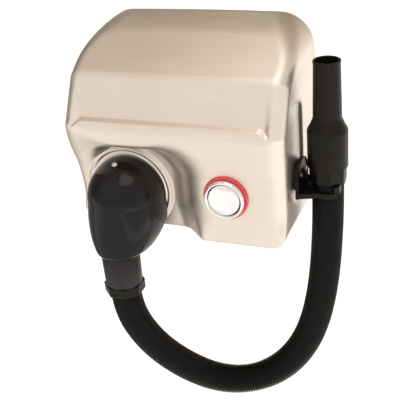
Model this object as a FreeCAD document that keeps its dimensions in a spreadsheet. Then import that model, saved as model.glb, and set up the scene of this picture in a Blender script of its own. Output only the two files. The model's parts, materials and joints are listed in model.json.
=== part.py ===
"""Wall-mounted warm-air blower with a hose and a hand nozzle, for drying cars after a wash.

Frame, in millimetres: the origin is on the wall, behind the middle of the cover. X runs to the
right seen from the front, Y into the wall (the front faces -Y) and Z up.
"""
import FreeCAD, Part
import math
import os
import re

import Sketcher
from FreeCAD import Placement, Rotation, Vector

DIMENSIONS = {
    # pressed steel cover
    "cover_width": 278, "cover_top": 114, "cover_bottom": 126, "cover_depth": 158,
    "sheet_gauge": 1.9, "wall_gap": 0.6, "top_corner": 40, "bottom_corner": 17,
    "edge_round": 8, "crown_depth": 5, "crown_rise": 8.5, "fold_depth": 125, "fold_height": 68,
    "crease_depth": 148, "crease_height": 22, "shoulder_height": 13,
    "seat_depth": 131, "scoop_right": 36, "scoop_top": -4, "seat_right": 17, "seat_top": -17,
    "seat_left_top": -30, "scoop_round": 45, "seat_round": 28,
    "seat_ring_radius": 56, "seat_ring_height": 4.5,
    "recess_depth": 6, "slot_width": 5, "slot_length": 70, "slot_pitch": 11,
    # wall plate
    "plate_thickness": 4, "plate_inset": 2.6, "lip_depth": 14, "lip_thickness": 3,
    "wall_hole_radius": 4, "wall_hole_span_x": 220, "wall_hole_span_z": 190,
    "cable_x": 112, "cable_z": 30, "cable_hole_radius": 10, "cable_bore_radius": 6.5,
    "screw_radius": 2.5, "cover_screw_x": 114, "cover_screw_y": -9.5,
    # fan and motor
    "fan_x": 10, "fan_z": 8, "scroll_rear": -8, "scroll_split": -30, "scroll_front": -44,
    "scroll_wall": 2.2, "inlet_radius": 36, "impeller_radius": 54, "impeller_eye": 38,
    "impeller_rear": -13, "impeller_front": -38, "blade_count": 28,
    "shaft_radius": 4, "shaft_rear": -11, "shaft_front": -128,
    "motor_radius": 38, "motor_rear": -62, "motor_front": -116, "motor_wall": 2.5,
    "core_radius": 22, "running_gap": 0.05,
    # outlet
    "outlet_x": -65, "outlet_z": -76, "plenum_half_width": 37, "plenum_front": -58,
    "duct_radius": 36, "duct_wall": 1.5, "duct_front": -126, "collar_radius": 41,
    "flange_radius": 45,
    "coil_radius": 22, "coil_wire": 1.3, "coil_pitch": 9, "coil_count": 6,
    # hood
    "hood_rear": -136.2, "hood_radius": 48, "hood_reach": 71, "hood_bottom": -145,
    "hood_foot_half_width": 39, "hood_foot_reach": 69, "hood_wall": 2.6,
    "rear_shell_top": -95, "rear_shell_front": -167.5, "rear_shell_lean": 0.4775,
    "rear_shell_fall": 0.783,
    # hose and hand nozzle
    "spigot_x": -67, "spigot_y": -178, "spigot_radius": 23.3, "hose_radius": 19,
    "hose_start": -190, "nut_gap": 0.3,
    "lower_nut_top": -184.6, "lower_nut_bottom": -198, "lower_nut_radius": 25.6,
    "nozzle_x": 171, "nozzle_y": -75, "upper_nut_bottom": -68.5, "upper_nut_radius": 22.5,
    "cuff_bottom": -50, "cuff_top": -4, "cuff_radius": 24.1, "cone_top": 10,
    "tip_radius": 17.3, "mouth_radius": 16, "mouth_height": 80, "mouth_bore": 13.8,
    "mouth_bore_length": 30, "nozzle_wall": 2.4,
    # holder
    "holder_plate_face": 139.2, "holder_plate_thickness": 2.6, "holder_y": -84, "holder_z": -63,
    "holder_plate_radius": 24, "shelf_bottom": -83.5, "shelf_top": -77, "slot_radius": 20,
    "cradle_radius": 28, "ledge_top": -68.9, "rib_top": -61,
    # push button
    "button_x": 70, "button_z": -63, "cap_radius": 18.3, "cap_front": -167.5,
    "bezel_radius": 23, "bezel_front": -162.5, "sleeve_radius": 21.4, "sleeve_bore": 18.7,
    "sleeve_rear": -136, "ring_radius": 26.6, "ring_front": -159.9, "stem_radius": 3.6,
    "stem_rear": -131.9, "dish_radius": 32, "dish_depth": 2.2,
    # control board
    "board_left": 0, "board_right": 96, "board_bottom": -112, "board_top": -66, "board_y": -14,
}

# The hose's route: straight down out of the spigot, round in one hanging loop that swings from
# the hood's plane back to the holder's, and straight up into the hand nozzle.
HOSE_ROUTE = [
    (-67, -178, -190), (-67, -178, -216), (-59, -174.5, -252), (-39, -166, -290),
    (-12, -154, -322), (20, -140.5, -347), (49, -128, -358.5), (78, -115, -359.5),
    (105, -103.5, -349), (127, -94, -329), (143, -87, -303), (154, -82.5, -272),
    (161.5, -79.5, -236), (166.5, -77, -196), (169.5, -76, -150), (171, -75, -104),
    (171, -75, -62),
]

doc = FreeCAD.newDocument("car_dryer_blower")
sheet = doc.addObject("Spreadsheet::Sheet", "dims")
for row, (alias, number) in enumerate(DIMENSIONS.items(), start=1):
    sheet.set("A%d" % row, alias)
    sheet.set("B%d" % row, str(number))
    sheet.setAlias("B%d" % row, alias)
doc.recompute()

FORWARD = Rotation(Vector(1, 0, 0), 90)
RIGHTWARD = Rotation(Vector(0, 1, 0), 90)
UPWARD = Rotation()
nodes = {}


def dims(text):
    """The expression, with each alias in it read from the sheet."""
    return re.sub(r"([a-z][a-z_]+)", r"dims.\1", str(text))


def size(text):
    """The number that an expression of aliases stands for now."""
    return float(sheet.evalExpression(dims(text)))


def bind(thing, **properties):
    """Bind properties to expressions; x, y and z are the placement's."""
    for name, text in properties.items():
        path = "Placement.Base." + name if name in ("x", "y", "z") else name
        thing.setExpression(path, dims(text))
    return thing


def keep(thing, label):
    """Make a finished object a sub-part of the blower, under its node's name."""
    thing.Label = label
    nodes[label] = thing
    return thing


# ---- Part primitives, all bound to the sheet ---------------------------------------------------

def block(name, x, y, z):
    """A box between two expressions on each axis."""
    thing = doc.addObject("Part::Box", name)
    lengths = ["(%s) - (%s)" % (high, low) for low, high in (x, y, z)]
    return bind(thing, Length=lengths[0], Width=lengths[1], Height=lengths[2],
                x=x[0], y=y[0], z=z[0])


def rod(name, radius, length, at, turn=UPWARD):
    """A cylinder whose axis starts at a point and runs along the turned Z."""
    thing = doc.addObject("Part::Cylinder", name)
    thing.Placement = Placement(Vector(), turn)
    return bind(thing, Radius=radius, Height=length, x=at[0], y=at[1], z=at[2])


def ring(name, radius, wire, at, turn=UPWARD):
    """A torus about a point."""
    thing = doc.addObject("Part::Torus", name)
    thing.Placement = Placement(Vector(), turn)
    return bind(thing, Radius1=radius, Radius2=wire, x=at[0], y=at[1], z=at[2])


def less(name, base, *tools):
    """The base with the tools cut away."""
    thing = doc.addObject("Part::Cut", name)
    thing.Base = base
    thing.Tool = tools[0] if len(tools) == 1 else together(name + "_tools", *tools)
    return thing


def together(name, *things):
    """Several solids as one: fused where they meet, a group where they don't."""
    thing = doc.addObject("Part::MultiFuse", name)
    thing.Shapes = list(things)
    thing.Refine = True
    return thing


def shaped(name, shape):
    """A shape made with Part's own functions, as an object of the document."""
    thing = doc.addObject("Part::Feature", name)
    thing.Shape = shape
    return thing


# ---- PartDesign bodies, their sketches bound to the sheet --------------------------------------

def new_body(label, at, turn=UPWARD):
    body = doc.addObject("PartDesign::Body", label)
    body.Placement = Placement(Vector(), turn)
    bind(body, x=at[0], y=at[1], z=at[2])
    return keep(body, label)


def new_sketch(body, role, name):
    """A sketch on one of the body's own origin planes."""
    plane = next(f for f in body.Origin.OriginFeatures if f.Role == role)
    sketch = body.newObject("Sketcher::SketchObject", name)
    sketch.AttachmentSupport = [(plane, "")]
    sketch.MapMode = "FlatFace"
    return sketch


def pin_point(sketch, geometry, position, u, v):
    """Hold a sketch point at two expressions, measured from the sketch's origin."""
    for kind, text, axis in (("DistanceX", u, -2), ("DistanceY", v, -1)):
        value = size(text)
        if abs(value) < 1e-9:
            sketch.addConstraint(Sketcher.Constraint("PointOnObject", geometry, position, axis))
            continue
        index = sketch.addConstraint(
            Sketcher.Constraint(kind, -1, 1, geometry, position, value))
        sketch.setExpression("Constraints[%d]" % index, dims(text))


def draw_polygon(sketch, corners):
    """A closed outline through corners given as pairs of expressions."""
    points = [Vector(size(u), size(v), 0) for u, v in corners]
    first = sketch.GeometryCount
    count = len(points)
    for i, point in enumerate(points):
        sketch.addGeometry(Part.LineSegment(point, points[(i + 1) % count]), False)
    for i in range(count):
        following = first + (i + 1) % count
        sketch.addConstraint(Sketcher.Constraint("Coincident", first + i, 2, following, 1))
    for i, (u, v) in enumerate(corners):
        pin_point(sketch, first + i, 1, u, v)


def draw_circle(sketch, radius, u="0", v="0"):
    centre = Vector(size(u), size(v), 0)
    index = sketch.addGeometry(Part.Circle(centre, Vector(0, 0, 1), size(radius)), False)
    pin_point(sketch, index, 3, u, v)
    constraint = sketch.addConstraint(Sketcher.Constraint("Radius", index, size(radius)))
    sketch.setExpression("Constraints[%d]" % constraint, dims(radius))


def draw_octagon(sketch, radius):
    """A regular octagon with flats facing the axes and corners at a radius."""
    corners = []
    for i in range(8):
        angle = math.radians(22.5 + 45 * i)
        corners.append(("%s * %.6f" % (radius, math.cos(angle)),
                        "%s * %.6f" % (radius, math.sin(angle))))
    draw_polygon(sketch, corners)


def pad(body, sketch, length):
    feature = body.newObject("PartDesign::Pad", sketch.Name + "_pad")
    feature.Profile = sketch
    return bind(feature, Length=length)


def pocket(body, sketch, length, reverse=True):
    """Cut a sketch into the body; the volume has to fall."""
    doc.recompute()
    before = body.Shape.Volume
    feature = body.newObject("PartDesign::Pocket", sketch.Name + "_pocket")
    feature.Profile = sketch
    feature.Reversed = reverse
    bind(feature, Length=length)
    doc.recompute()
    if body.Shape.Volume > before - 1e-3:
        raise RuntimeError(body.Label + ": the pocket cut nothing")
    return feature


def turned(label, outline, at, turn=UPWARD):
    """A piece turned about its axis, from (radius, height) pairs of expressions."""
    body = new_body(label, at, turn)
    sketch = new_sketch(body, "XZ_Plane", label + "_profile")
    draw_polygon(sketch, outline)
    feature = body.newObject("PartDesign::Revolution", label + "_turned")
    feature.Profile = sketch
    feature.ReferenceAxis = (sketch, ["V_Axis"])
    feature.Angle = 360
    return body


def panel(label, corners, thickness, at, turn=UPWARD, holes=()):
    """A flat piece with an outline, a thickness and round holes."""
    body = new_body(label, at, turn)
    sketch = new_sketch(body, "XY_Plane", label + "_outline")
    draw_polygon(sketch, corners)
    for radius, u, v in holes:
        draw_circle(sketch, radius, u, v)
    pad(body, sketch, thickness)
    return body


# ---- outlines with round corners, for the pressed and moulded shells ---------------------------

def rounded_wire(corners):
    """A closed wire through (point, radius) corners, each rounded by a tangent arc."""
    legs = []
    for i, (point, radius) in enumerate(corners):
        if radius == 0:
            legs.append((point, None, point))
            continue
        back = (corners[i - 1][0] - point).normalize()
        ahead = (corners[(i + 1) % len(corners)][0] - point).normalize()
        half = back.getAngle(ahead) / 2
        middle = (back + ahead).normalize()
        centre = point + middle * (radius / math.sin(half))
        reach = radius / math.tan(half)
        legs.append((point + back * reach, centre - middle * radius, point + ahead * reach))
    edges = []
    for i, (start, middle, end) in enumerate(legs):
        if middle is not None:
            edges.append(Part.Arc(start, middle, end).toShape())
        following = legs[(i + 1) % len(legs)][0]
        if (following - end).Length > 1e-6:
            edges.append(Part.LineSegment(end, following).toShape())
    return Part.Wire(edges)


def prism(wire, along):
    return Part.Face(wire).extrude(along)


def disc(x, y, z, radius, depth):
    """A cylinder that starts at a point and runs forward."""
    return Part.makeCylinder(radius, depth, Vector(x, y, z), Vector(0, -1, 0))


# ---- cover -------------------------------------------------------------------------------------

def front_outline(y, inset):
    """The cover's outline seen from the front, as a wire at a depth, drawn in by an inset."""
    half = size("cover_width / 2") - inset
    top, bottom = size("cover_top") - inset, inset - size("cover_bottom")
    upper, lower = size("top_corner") - inset, size("bottom_corner") - inset
    return rounded_wire([
        (Vector(-half, y, top), upper), (Vector(half, y, top), upper),
        (Vector(half, y, bottom), lower), (Vector(-half, y, bottom), lower),
    ])


def cover_hull(inset):
    """The cover's plain body: a side profile crossed with a front outline."""
    half, top, bottom = size("cover_width / 2"), size("cover_top"), -size("cover_bottom")
    rear = 5 if inset else -size("wall_gap")
    crown = top + size("crown_rise")
    side = rounded_wire([
        (Vector(0, rear, crown), 0),
        (Vector(0, -size("crown_depth"), crown), 0),
        (Vector(0, -size("fold_depth"), size("fold_height")), 25),
        (Vector(0, -size("crease_depth"), size("crease_height")), 20),
        (Vector(0, -size("cover_depth"), size("shoulder_height")), 12),
        (Vector(0, -size("cover_depth"), bottom), 0),
        (Vector(0, rear, bottom), 0),
    ])
    face = Part.Face(side)
    if inset:
        face = face.makeOffset2D(-inset)
    face.translate(Vector(-2 * half, 0, 0))
    profile = face.extrude(Vector(4 * half, 0, 0))
    outline = front_outline(50, inset)
    hull = profile.common(prism(outline, Vector(0, -300, 0))).removeSplitter().Solids[0]
    radius = size("edge_round") if not inset else size("edge_round") / 2
    return hull.makeFillet(radius, outer_edges(hull))


def outer_edges(hull):
    """The hull's sharp edges, apart from those of its open rear."""
    rear = hull.BoundBox.YMax
    edges = []
    for edge in hull.Edges:
        middle = edge.valueAt((edge.FirstParameter + edge.LastParameter) / 2)
        if abs(middle.y - rear) < 0.01:
            continue
        faces = hull.ancestorsOfType(edge, Part.Face)
        normals = [f.normalAt(*f.Surface.parameter(middle)) for f in faces]
        if len(normals) == 2 and math.degrees(normals[0].getAngle(normals[1])) > 8:
            edges.append(edge)
    return edges


def scoop(grow):
    """What the hollow round the outlet takes off the cover's lower left corner."""
    def outline(depth, right, top, left_top, radius):
        far = 220
        return rounded_wire([
            (Vector(-far, -depth, left_top + grow), 0),
            (Vector(right + grow, -depth, top + grow), radius + grow),
            (Vector(right + grow, -depth, -far), 0),
            (Vector(-far, -depth, -far), 0),
        ])
    front = outline(size("cover_depth") + 2 + grow, size("scoop_right"), size("scoop_top"),
                    size("scoop_top"), size("scoop_round"))
    seat = outline(size("seat_depth") - grow, size("seat_right"), size("seat_top"),
                   size("seat_left_top"), size("seat_round"))
    return Part.makeLoft([front, seat], True, True)


def side_recess(grow):
    """The slanting recess in the cover's right side, which the holder is screwed over."""
    corners = [(-120, 48), (-62, 28), (-60, -98), (-92, -100), (-142, -76), (-138, -6)]
    inner = size("cover_width / 2") - size("recess_depth") - grow
    wire = rounded_wire([(Vector(inner, y, z), 10) for y, z in corners])
    if grow:
        wire = Part.Face(wire).makeOffset2D(grow).OuterWire
    return prism(wire, Vector(30, 0, 0))


def cover_form(inset):
    """The cover's outer surface, or with an inset its inner one, as a solid."""
    outlet = (size("outlet_x"), size("outlet_z"))
    height, radius = size("seat_ring_height"), size("seat_ring_radius")
    seat = -size("seat_depth")
    form = cover_hull(inset).cut(scoop(inset))
    raised = disc(outlet[0], seat + 20, outlet[1], radius - inset, 20 + height - inset)
    floor = 1 + inset - size("cover_bottom")
    limit = Part.makeBox(400, 300, 200, Vector(-200, -250, floor))
    form = form.fuse(raised.common(limit))
    dish_radius, dish_depth = size("dish_radius"), size("dish_depth")
    ball = (dish_radius ** 2 + dish_depth ** 2) / (2 * dish_depth)
    centre = Vector(size("button_x"), -size("cover_depth") - ball + dish_depth, size("button_z"))
    form = form.cut(Part.makeSphere(ball + inset, centre))
    return form.cut(side_recess(inset)).removeSplitter()


def cover_holes():
    """Everything that goes through the cover's sheet."""
    holes = [
        disc(size("outlet_x"), -110, size("outlet_z"), size("collar_radius") + 0.4, 50),
        disc(size("button_x"), -140, size("button_z"), size("sleeve_radius") + 0.4, 30),
    ]
    bottom = -size("cover_bottom")
    for i in range(6):
        x = 52 + i * size("slot_pitch")
        y = -35 - size("slot_length")
        holes.append(Part.makeBox(size("slot_width"), size("slot_length"), 10,
                                  Vector(x, y, bottom - 4)))
    for side in (-1, 1):
        at = Vector(side * size("cover_screw_x"), size("cover_screw_y"), bottom - 4)
        holes.append(Part.makeCylinder(size("screw_radius") + 0.4, 10, at))
    for y in holder_screw_places():
        at = Vector(120, y, size("holder_z") + 3)
        holes.append(Part.makeCylinder(size("screw_radius") - 0.6, 30, at, Vector(1, 0, 0)))
    return holes


def holder_screw_places():
    return [size("holder_y") - 4, size("holder_y") + 16]


def make_cover():
    shell = cover_form(0).cut(cover_form(size("sheet_gauge")))
    shell = shell.cut(Part.makeCompound(cover_holes()))
    keep(shaped("cover_shell", shell), "cover_shell")
    screws = []
    for number, side in enumerate(("-1", "1")):
        x = side + " * cover_screw_x"
        head = rod("cover_screw_head%d" % number, "screw_radius * 1.9", "3",
                   (x, "cover_screw_y", "-cover_bottom - 3.2"))
        shank = rod("cover_screw_shank%d" % number, "screw_radius", "10",
                    (x, "cover_screw_y", "-cover_bottom - 1"))
        screws.append(together("cover_screw%d" % number, head, shank))
    keep(together("cover_screws_group", *screws), "cover_screws")


# ---- wall plate and what is fixed to it --------------------------------------------------------

def make_wall_plate():
    inset, depth = size("plate_inset"), size("lip_depth")
    bottom = inset - size("cover_bottom")
    plate = prism(front_outline(0, inset), Vector(0, -depth, 0))
    hollow = front_outline(-size("plate_thickness"), inset + size("lip_thickness"))
    plate = plate.cut(prism(hollow, Vector(0, -depth, 0)))
    for side in (-1, 1):
        x = side * size("cover_screw_x")
        boss = Part.makeBox(14, 12, 9, Vector(x - 7, -depth, bottom))
        plate = plate.fuse(boss)
    holes = []
    for x in (-1, 1):
        for z in (-1, 1):
            at = (x * size("wall_hole_span_x / 2"), 5, z * size("wall_hole_span_z / 2"))
            holes.append(disc(*at, size("wall_hole_radius"), 20))
        at = Vector(x * size("cover_screw_x"), size("cover_screw_y"), bottom - 1)
        holes.append(Part.makeCylinder(size("screw_radius"), 12, at))
    holes.append(disc(size("cable_x"), 5, size("cable_z"), size("cable_hole_radius"), 20))
    plate = plate.cut(Part.makeCompound(holes)).removeSplitter()
    keep(shaped("wall_plate", plate), "wall_plate")


def make_plate_fittings():
    turned("cable_grommet", [
        ("cable_bore_radius", "0"), ("cable_hole_radius", "0"),
        ("cable_hole_radius", "plate_thickness"), ("cable_hole_radius + 3", "plate_thickness"),
        ("cable_hole_radius + 2", "plate_thickness + 3"),
        ("cable_bore_radius", "plate_thickness + 3"),
    ], ("cable_x", "0", "cable_z"), FORWARD)
    places = (("fan_x - 48", "fan_z + 40"), ("fan_x + 42", "fan_z + 44"),
              ("fan_x + 48", "fan_z - 30"), ("fan_x - 24", "fan_z - 42"))
    rubbers = [rod("rubber%d" % i, "7", "-scroll_rear - plate_thickness",
                   (x, "-plate_thickness", z), FORWARD) for i, (x, z) in enumerate(places)]
    keep(together("rubber_group", *rubbers), "vibration_mounts")
    housing = block("terminal_housing", ("100", "124"), ("-26", "-plate_thickness"),
                    ("-34", "8"))
    slots = [block("terminal_slot%d" % i, ("104", "120"), ("-27", "-14"),
                   ("-31 + %d" % (13 * i), "-22 + %d" % (13 * i))) for i in range(3)]
    keep(less("terminal_body", housing, *slots), "terminal_block")
    screws = [rod("terminal_screw%d" % i, "3", "8", ("112", "-14", "-26.5 + %d" % (13 * i)),
                  FORWARD) for i in range(3)]
    keep(together("terminal_screw_group", *screws), "terminal_screws")


def make_control_board():
    panel("control_board", [("board_left", "board_bottom"), ("board_right", "board_bottom"),
                            ("board_right", "board_top"), ("board_left", "board_top")],
          "1.6", ("0", "board_y", "0"), FORWARD)
    corners = [(x, z) for x in ("board_left + 5", "board_right - 5")
               for z in ("board_bottom + 5", "board_top - 5")]
    posts = [rod("post%d" % i, "3.2", "-board_y - plate_thickness",
                 (x, "-plate_thickness", z), FORWARD) for i, (x, z) in enumerate(corners)]
    keep(together("post_group", *posts), "board_standoffs")
    keep(block("relay_box", ("board_left + 12", "board_left + 34"),
               ("board_y - 21.6", "board_y - 1.6"), ("board_bottom + 14", "board_top - 14")),
         "relay")
    keep(block("transformer_box", ("board_left + 42", "board_left + 66"),
               ("board_y - 24.6", "board_y - 1.6"), ("board_bottom + 10", "board_top - 12")),
         "transformer")
    keep(rod("capacitor_can", "7", "20", ("board_left + 80", "board_y - 1.6",
                                         "board_bottom + 20"), FORWARD), "capacitor")


# ---- fan and motor -----------------------------------------------------------------------------

def scroll_wire(y):
    """The fan casing's outline: a spiral of four arcs that opens into a channel at the left.

    Each arc's centre lines up with the next one's, so the arcs meet tangentially.
    """
    x, z = size("fan_x"), size("fan_z")

    def at(cx, cz, radius, degrees):
        turn = math.radians(degrees)
        return Vector(cx + radius * math.cos(turn), y, cz + radius * math.sin(turn))

    arcs = [(x + 5, z - 2, 60, 215, 270), (x + 5, z + 11, 73, 270, 360),
            (x - 3, z + 11, 81, 0, 90), (x - 3, z - 9, 101, 90, 180)]
    edges = [Part.Arc(at(cx, cz, r, a), at(cx, cz, r, (a + b) / 2), at(cx, cz, r, b)).toShape()
             for cx, cz, r, a, b in arcs]
    tongue = at(*arcs[0][:3], arcs[0][3])
    left = at(*arcs[-1][:3], 180)
    corners = [left, Vector(left.x, y, -40), Vector(x - 56, y, -40), Vector(x - 56, y, -27),
               tongue]
    edges += [Part.LineSegment(a, b).toShape() for a, b in zip(corners, corners[1:])]
    return Part.Wire(edges)


def make_scroll():
    wall = size("scroll_wall")
    rear, split, front = size("scroll_rear"), size("scroll_split"), size("scroll_front")
    face = Part.Face(scroll_wire(0))
    inner = face.makeOffset2D(-wall)
    gate = Part.makeBox(42, 400, 8, Vector(size("fan_x") - 100, -200, -43))

    def ring_wall(near, far):
        solid = face.extrude(Vector(0, far - near, 0)).cut(inner.extrude(Vector(0, far - near, 0)))
        solid.translate(Vector(0, near, 0))
        return solid.cut(gate)

    def sheet_at(y):
        plate = face.extrude(Vector(0, -wall, 0))
        plate.translate(Vector(0, y, 0))
        return plate

    x, z = size("fan_x"), size("fan_z")
    floor = sheet_at(rear).cut(disc(x, 0, z, size("shaft_radius") + 1.5, 60))
    lid = sheet_at(front + wall).cut(disc(x, 0, z, size("inlet_radius"), 80))
    keep(shaped("scroll_rear_half", ring_wall(rear, split).fuse(floor).removeSplitter()),
         "scroll_rear_half")
    keep(shaped("scroll_front_half", ring_wall(split, front).fuse(lid).removeSplitter()),
         "scroll_front_half")


def make_impeller():
    """A squirrel-cage wheel: a back plate with a hub, curved blades and a front ring."""
    body = new_body("fan_impeller", ("fan_x", "impeller_rear", "fan_z"), FORWARD)
    plate = new_sketch(body, "XY_Plane", "impeller_plate")
    draw_circle(plate, "impeller_radius")
    draw_circle(plate, "shaft_radius")
    pad(body, plate, "1.6")
    hub = new_sketch(body, "XY_Plane", "impeller_hub")
    draw_circle(hub, "10")
    draw_circle(hub, "shaft_radius")
    pad(body, hub, "14")
    blade = new_sketch(body, "XY_Plane", "impeller_blade")
    draw_polygon(blade, [("impeller_eye", "0"), ("impeller_radius - 6", "2.5"),
                         ("impeller_radius - 1", "7"), ("impeller_radius - 2", "8"),
                         ("impeller_radius - 7", "3.7"), ("impeller_eye", "1.3")])
    stroke = pad(body, blade, "impeller_rear - impeller_front")
    cage = body.newObject("PartDesign::PolarPattern", "impeller_blades")
    cage.Originals = [stroke]
    axis = next(f for f in body.Origin.OriginFeatures if f.Role == "Z_Axis")
    cage.Axis = (axis, [""])
    cage.Angle = 360
    bind(cage, Occurrences="blade_count")
    body.Tip = cage
    doc.recompute()


def make_rotor():
    turned("motor_shaft", [
        ("0", "0"), ("shaft_radius", "0"), ("shaft_radius", "shaft_rear - shaft_front - 1"),
        ("shaft_radius - 1", "shaft_rear - shaft_front"), ("0", "shaft_rear - shaft_front"),
    ], ("fan_x", "shaft_rear", "fan_z"), FORWARD)
    turned("rotor_core", [("shaft_radius", "0"), ("core_radius", "0"), ("core_radius", "26"),
                          ("shaft_radius", "26")], ("fan_x", "-70", "fan_z"), FORWARD)
    turned("commutator", [("shaft_radius", "0"), ("12", "0"), ("12", "12"),
                          ("shaft_radius", "12")], ("fan_x", "-98", "fan_z"), FORWARD)
    turned("impeller_collar", [("shaft_radius", "0"), ("9", "0"), ("9", "6"),
                               ("shaft_radius", "6")], ("fan_x", "-28", "fan_z"), FORWARD)


def make_motor():
    at = ("fan_x", "motor_rear", "fan_z")
    length = "motor_rear - motor_front"
    turned("motor_case", [
        ("16", "0"), ("motor_radius", "0"), ("motor_radius", length),
        ("motor_radius - motor_wall", length), ("motor_radius - motor_wall", "motor_wall"),
        ("16", "motor_wall"),
    ], at, FORWARD)
    turned("stator_ring", [
        ("core_radius + 1", "0"), ("motor_radius - motor_wall", "0"),
        ("motor_radius - motor_wall", "26"), ("core_radius + 1", "26"),
    ], ("fan_x", "-70", "fan_z"), FORWARD)
    turned("motor_end_bell", [
        ("9", "0"), ("motor_radius", "0"), ("motor_radius", "3"), ("16", "9"), ("9", "9"),
    ], ("fan_x", "motor_front", "fan_z"), FORWARD)
    front = ("fan_x", "motor_front - 1", "fan_z")
    rear = ("fan_x", "motor_rear + 1.5", "fan_z")
    bearings = []
    for name, place, radius in (("front", front, "9"), ("rear", rear, "16")):
        outer = rod(name + "_bearing", radius, "7", place, FORWARD)
        bore = rod(name + "_bearing_bore", "shaft_radius + running_gap", "7", place, FORWARD)
        bearings.append(less(name + "_bearing_ring", outer, bore))
    keep(bearings[0], "front_bearing")
    keep(bearings[1], "rear_bearing")
    legs = []
    for i in range(3):
        angle = math.radians(90 + 120 * i)
        x = "fan_x + %.2f" % (42 * math.cos(angle))
        z = "fan_z + %.2f" % (42 * math.sin(angle))
        legs.append(rod("motor_leg%d" % i, "3.5", "scroll_front - motor_rear",
                        (x, "scroll_front", z), FORWARD))
    keep(together("motor_leg_group", *legs), "motor_posts")
    clamp = rod("clamp_disc", "46", "3", at, FORWARD)
    eye = rod("clamp_eye", "motor_radius + 0.2", "3", at, FORWARD)
    keep(less("clamp_ring", clamp, eye), "motor_clamp")
    boxes, brushes = [], []
    for side, sign in (("left", "-1"), ("right", "1")):
        near, far = ("fan_x + %s * 21" % sign, "fan_x + %s * 34" % sign)
        low, high = (far, near) if sign == "-1" else (near, far)
        shell = block(side + "_brush_box", (low, high), ("-109", "-99"),
                      ("fan_z - 5", "fan_z + 5"))
        near, far = ("fan_x + %s * 12.3" % sign, "fan_x + %s * 32" % sign)
        low, high = (far, near) if sign == "-1" else (near, far)
        carbon = block(side + "_carbon", (low, high), ("-107", "-101"),
                       ("fan_z - 3", "fan_z + 3"))
        boxes.append(less(side + "_brush_holder", shell, carbon))
        brushes.append(carbon)
    keep(together("brush_holder_group", *boxes), "brush_holders")
    keep(together("carbon_group", *brushes), "carbon_brushes")


# ---- outlet: plenum, heater and collar ---------------------------------------------------------

def make_plenum():
    half = "plenum_half_width"
    outer = block("plenum_outer", ("outlet_x - " + half, "outlet_x + " + half),
                  ("plenum_front", "scroll_rear"), ("outlet_z - 38", "-40"))
    inner = block("plenum_inner",
                  ("outlet_x - %s + scroll_wall" % half, "outlet_x + %s - scroll_wall" % half),
                  ("plenum_front + scroll_wall", "scroll_rear - scroll_wall"),
                  ("outlet_z - 38 + scroll_wall", "-40 - scroll_wall"))
    gate = block("plenum_gate", ("fan_x - 100", "fan_x - 58"),
                 ("scroll_front + scroll_wall", "scroll_rear - scroll_wall"), ("-44", "-39"))
    mouth = rod("plenum_mouth", "duct_radius - duct_wall", "8",
                ("outlet_x", "plenum_front + 6", "outlet_z"), FORWARD)
    keep(less("plenum_shell", outer, inner, gate, mouth), "outlet_plenum")


def make_heater():
    at = ("outlet_x", "plenum_front", "outlet_z")
    length = "plenum_front - duct_front"
    turned("heater_duct", [
        ("duct_radius - duct_wall", "0"), ("duct_radius", "0"), ("duct_radius", length),
        ("duct_radius - duct_wall", length),
    ], at, FORWARD)
    reach = "duct_radius - duct_wall - 0.4"
    upright = block("mica_upright", ("outlet_x - 0.6", "outlet_x + 0.6"), ("-120", "-64"),
                    ("outlet_z - (%s)" % reach, "outlet_z + " + reach))
    level = block("mica_level", ("outlet_x - (%s)" % reach, "outlet_x + " + reach),
                  ("-120", "-64"), ("outlet_z - 0.6", "outlet_z + 0.6"))
    coils, notches = [], []
    for i in range(int(size("coil_count"))):
        place = ("outlet_x", "-69.5 - %d * coil_pitch" % i, "outlet_z")
        coils.append(ring("coil%d" % i, "coil_radius", "coil_wire", place, FORWARD))
        notches.append(ring("notch%d" % i, "coil_radius", "coil_wire + 0.2", place, FORWARD))
    keep(less("mica_cross", together("mica_plates", upright, level), *notches), "heater_frame")
    keep(together("coil_group", *coils), "heater_coils")
    body = rod("cutout_body", "8", "5", ("outlet_x", "-92", "outlet_z + duct_radius + 0.2"))
    stud = rod("cutout_button", "2.5", "3", ("outlet_x", "-92", "outlet_z + duct_radius + 5.2"))
    keep(together("cutout", body, stud), "thermal_cutout")


def make_collar():
    """The cast ring that the hood fits on; a tab above takes the hood's screw."""
    sleeve = rod("collar_sleeve", "collar_radius", "20", ("outlet_x", "-126.3", "outlet_z"),
                 FORWARD)
    flange = rod("collar_flange", "flange_radius", "3",
                 ("outlet_x", "-129", "outlet_z"), FORWARD)
    tab = block("collar_tab", ("outlet_x - 6", "outlet_x + 6"), ("-170", "-140"),
                ("outlet_z + 34", "outlet_z + 38"))
    bore = rod("collar_bore", "collar_radius - 4.5", "30", ("outlet_x", "-120", "outlet_z"),
               FORWARD)
    thread = rod("collar_thread", "1.6", "30", ("outlet_x", "-160", "outlet_z + 25"), HOOD_TILT)
    keep(less("collar_casting", together("collar_blank", sleeve, flange, tab), bore, thread),
         "outlet_collar")
    turned("outlet_gasket", [("collar_radius + 1", "0"), ("flange_radius", "0"),
                             ("flange_radius", "1.5"), ("collar_radius + 1", "1.5")],
           ("outlet_x", "-132", "outlet_z"), FORWARD)


# ---- hood --------------------------------------------------------------------------------------

HOOD_TILT = Rotation(Vector(1, 0, 0), 15)


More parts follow.
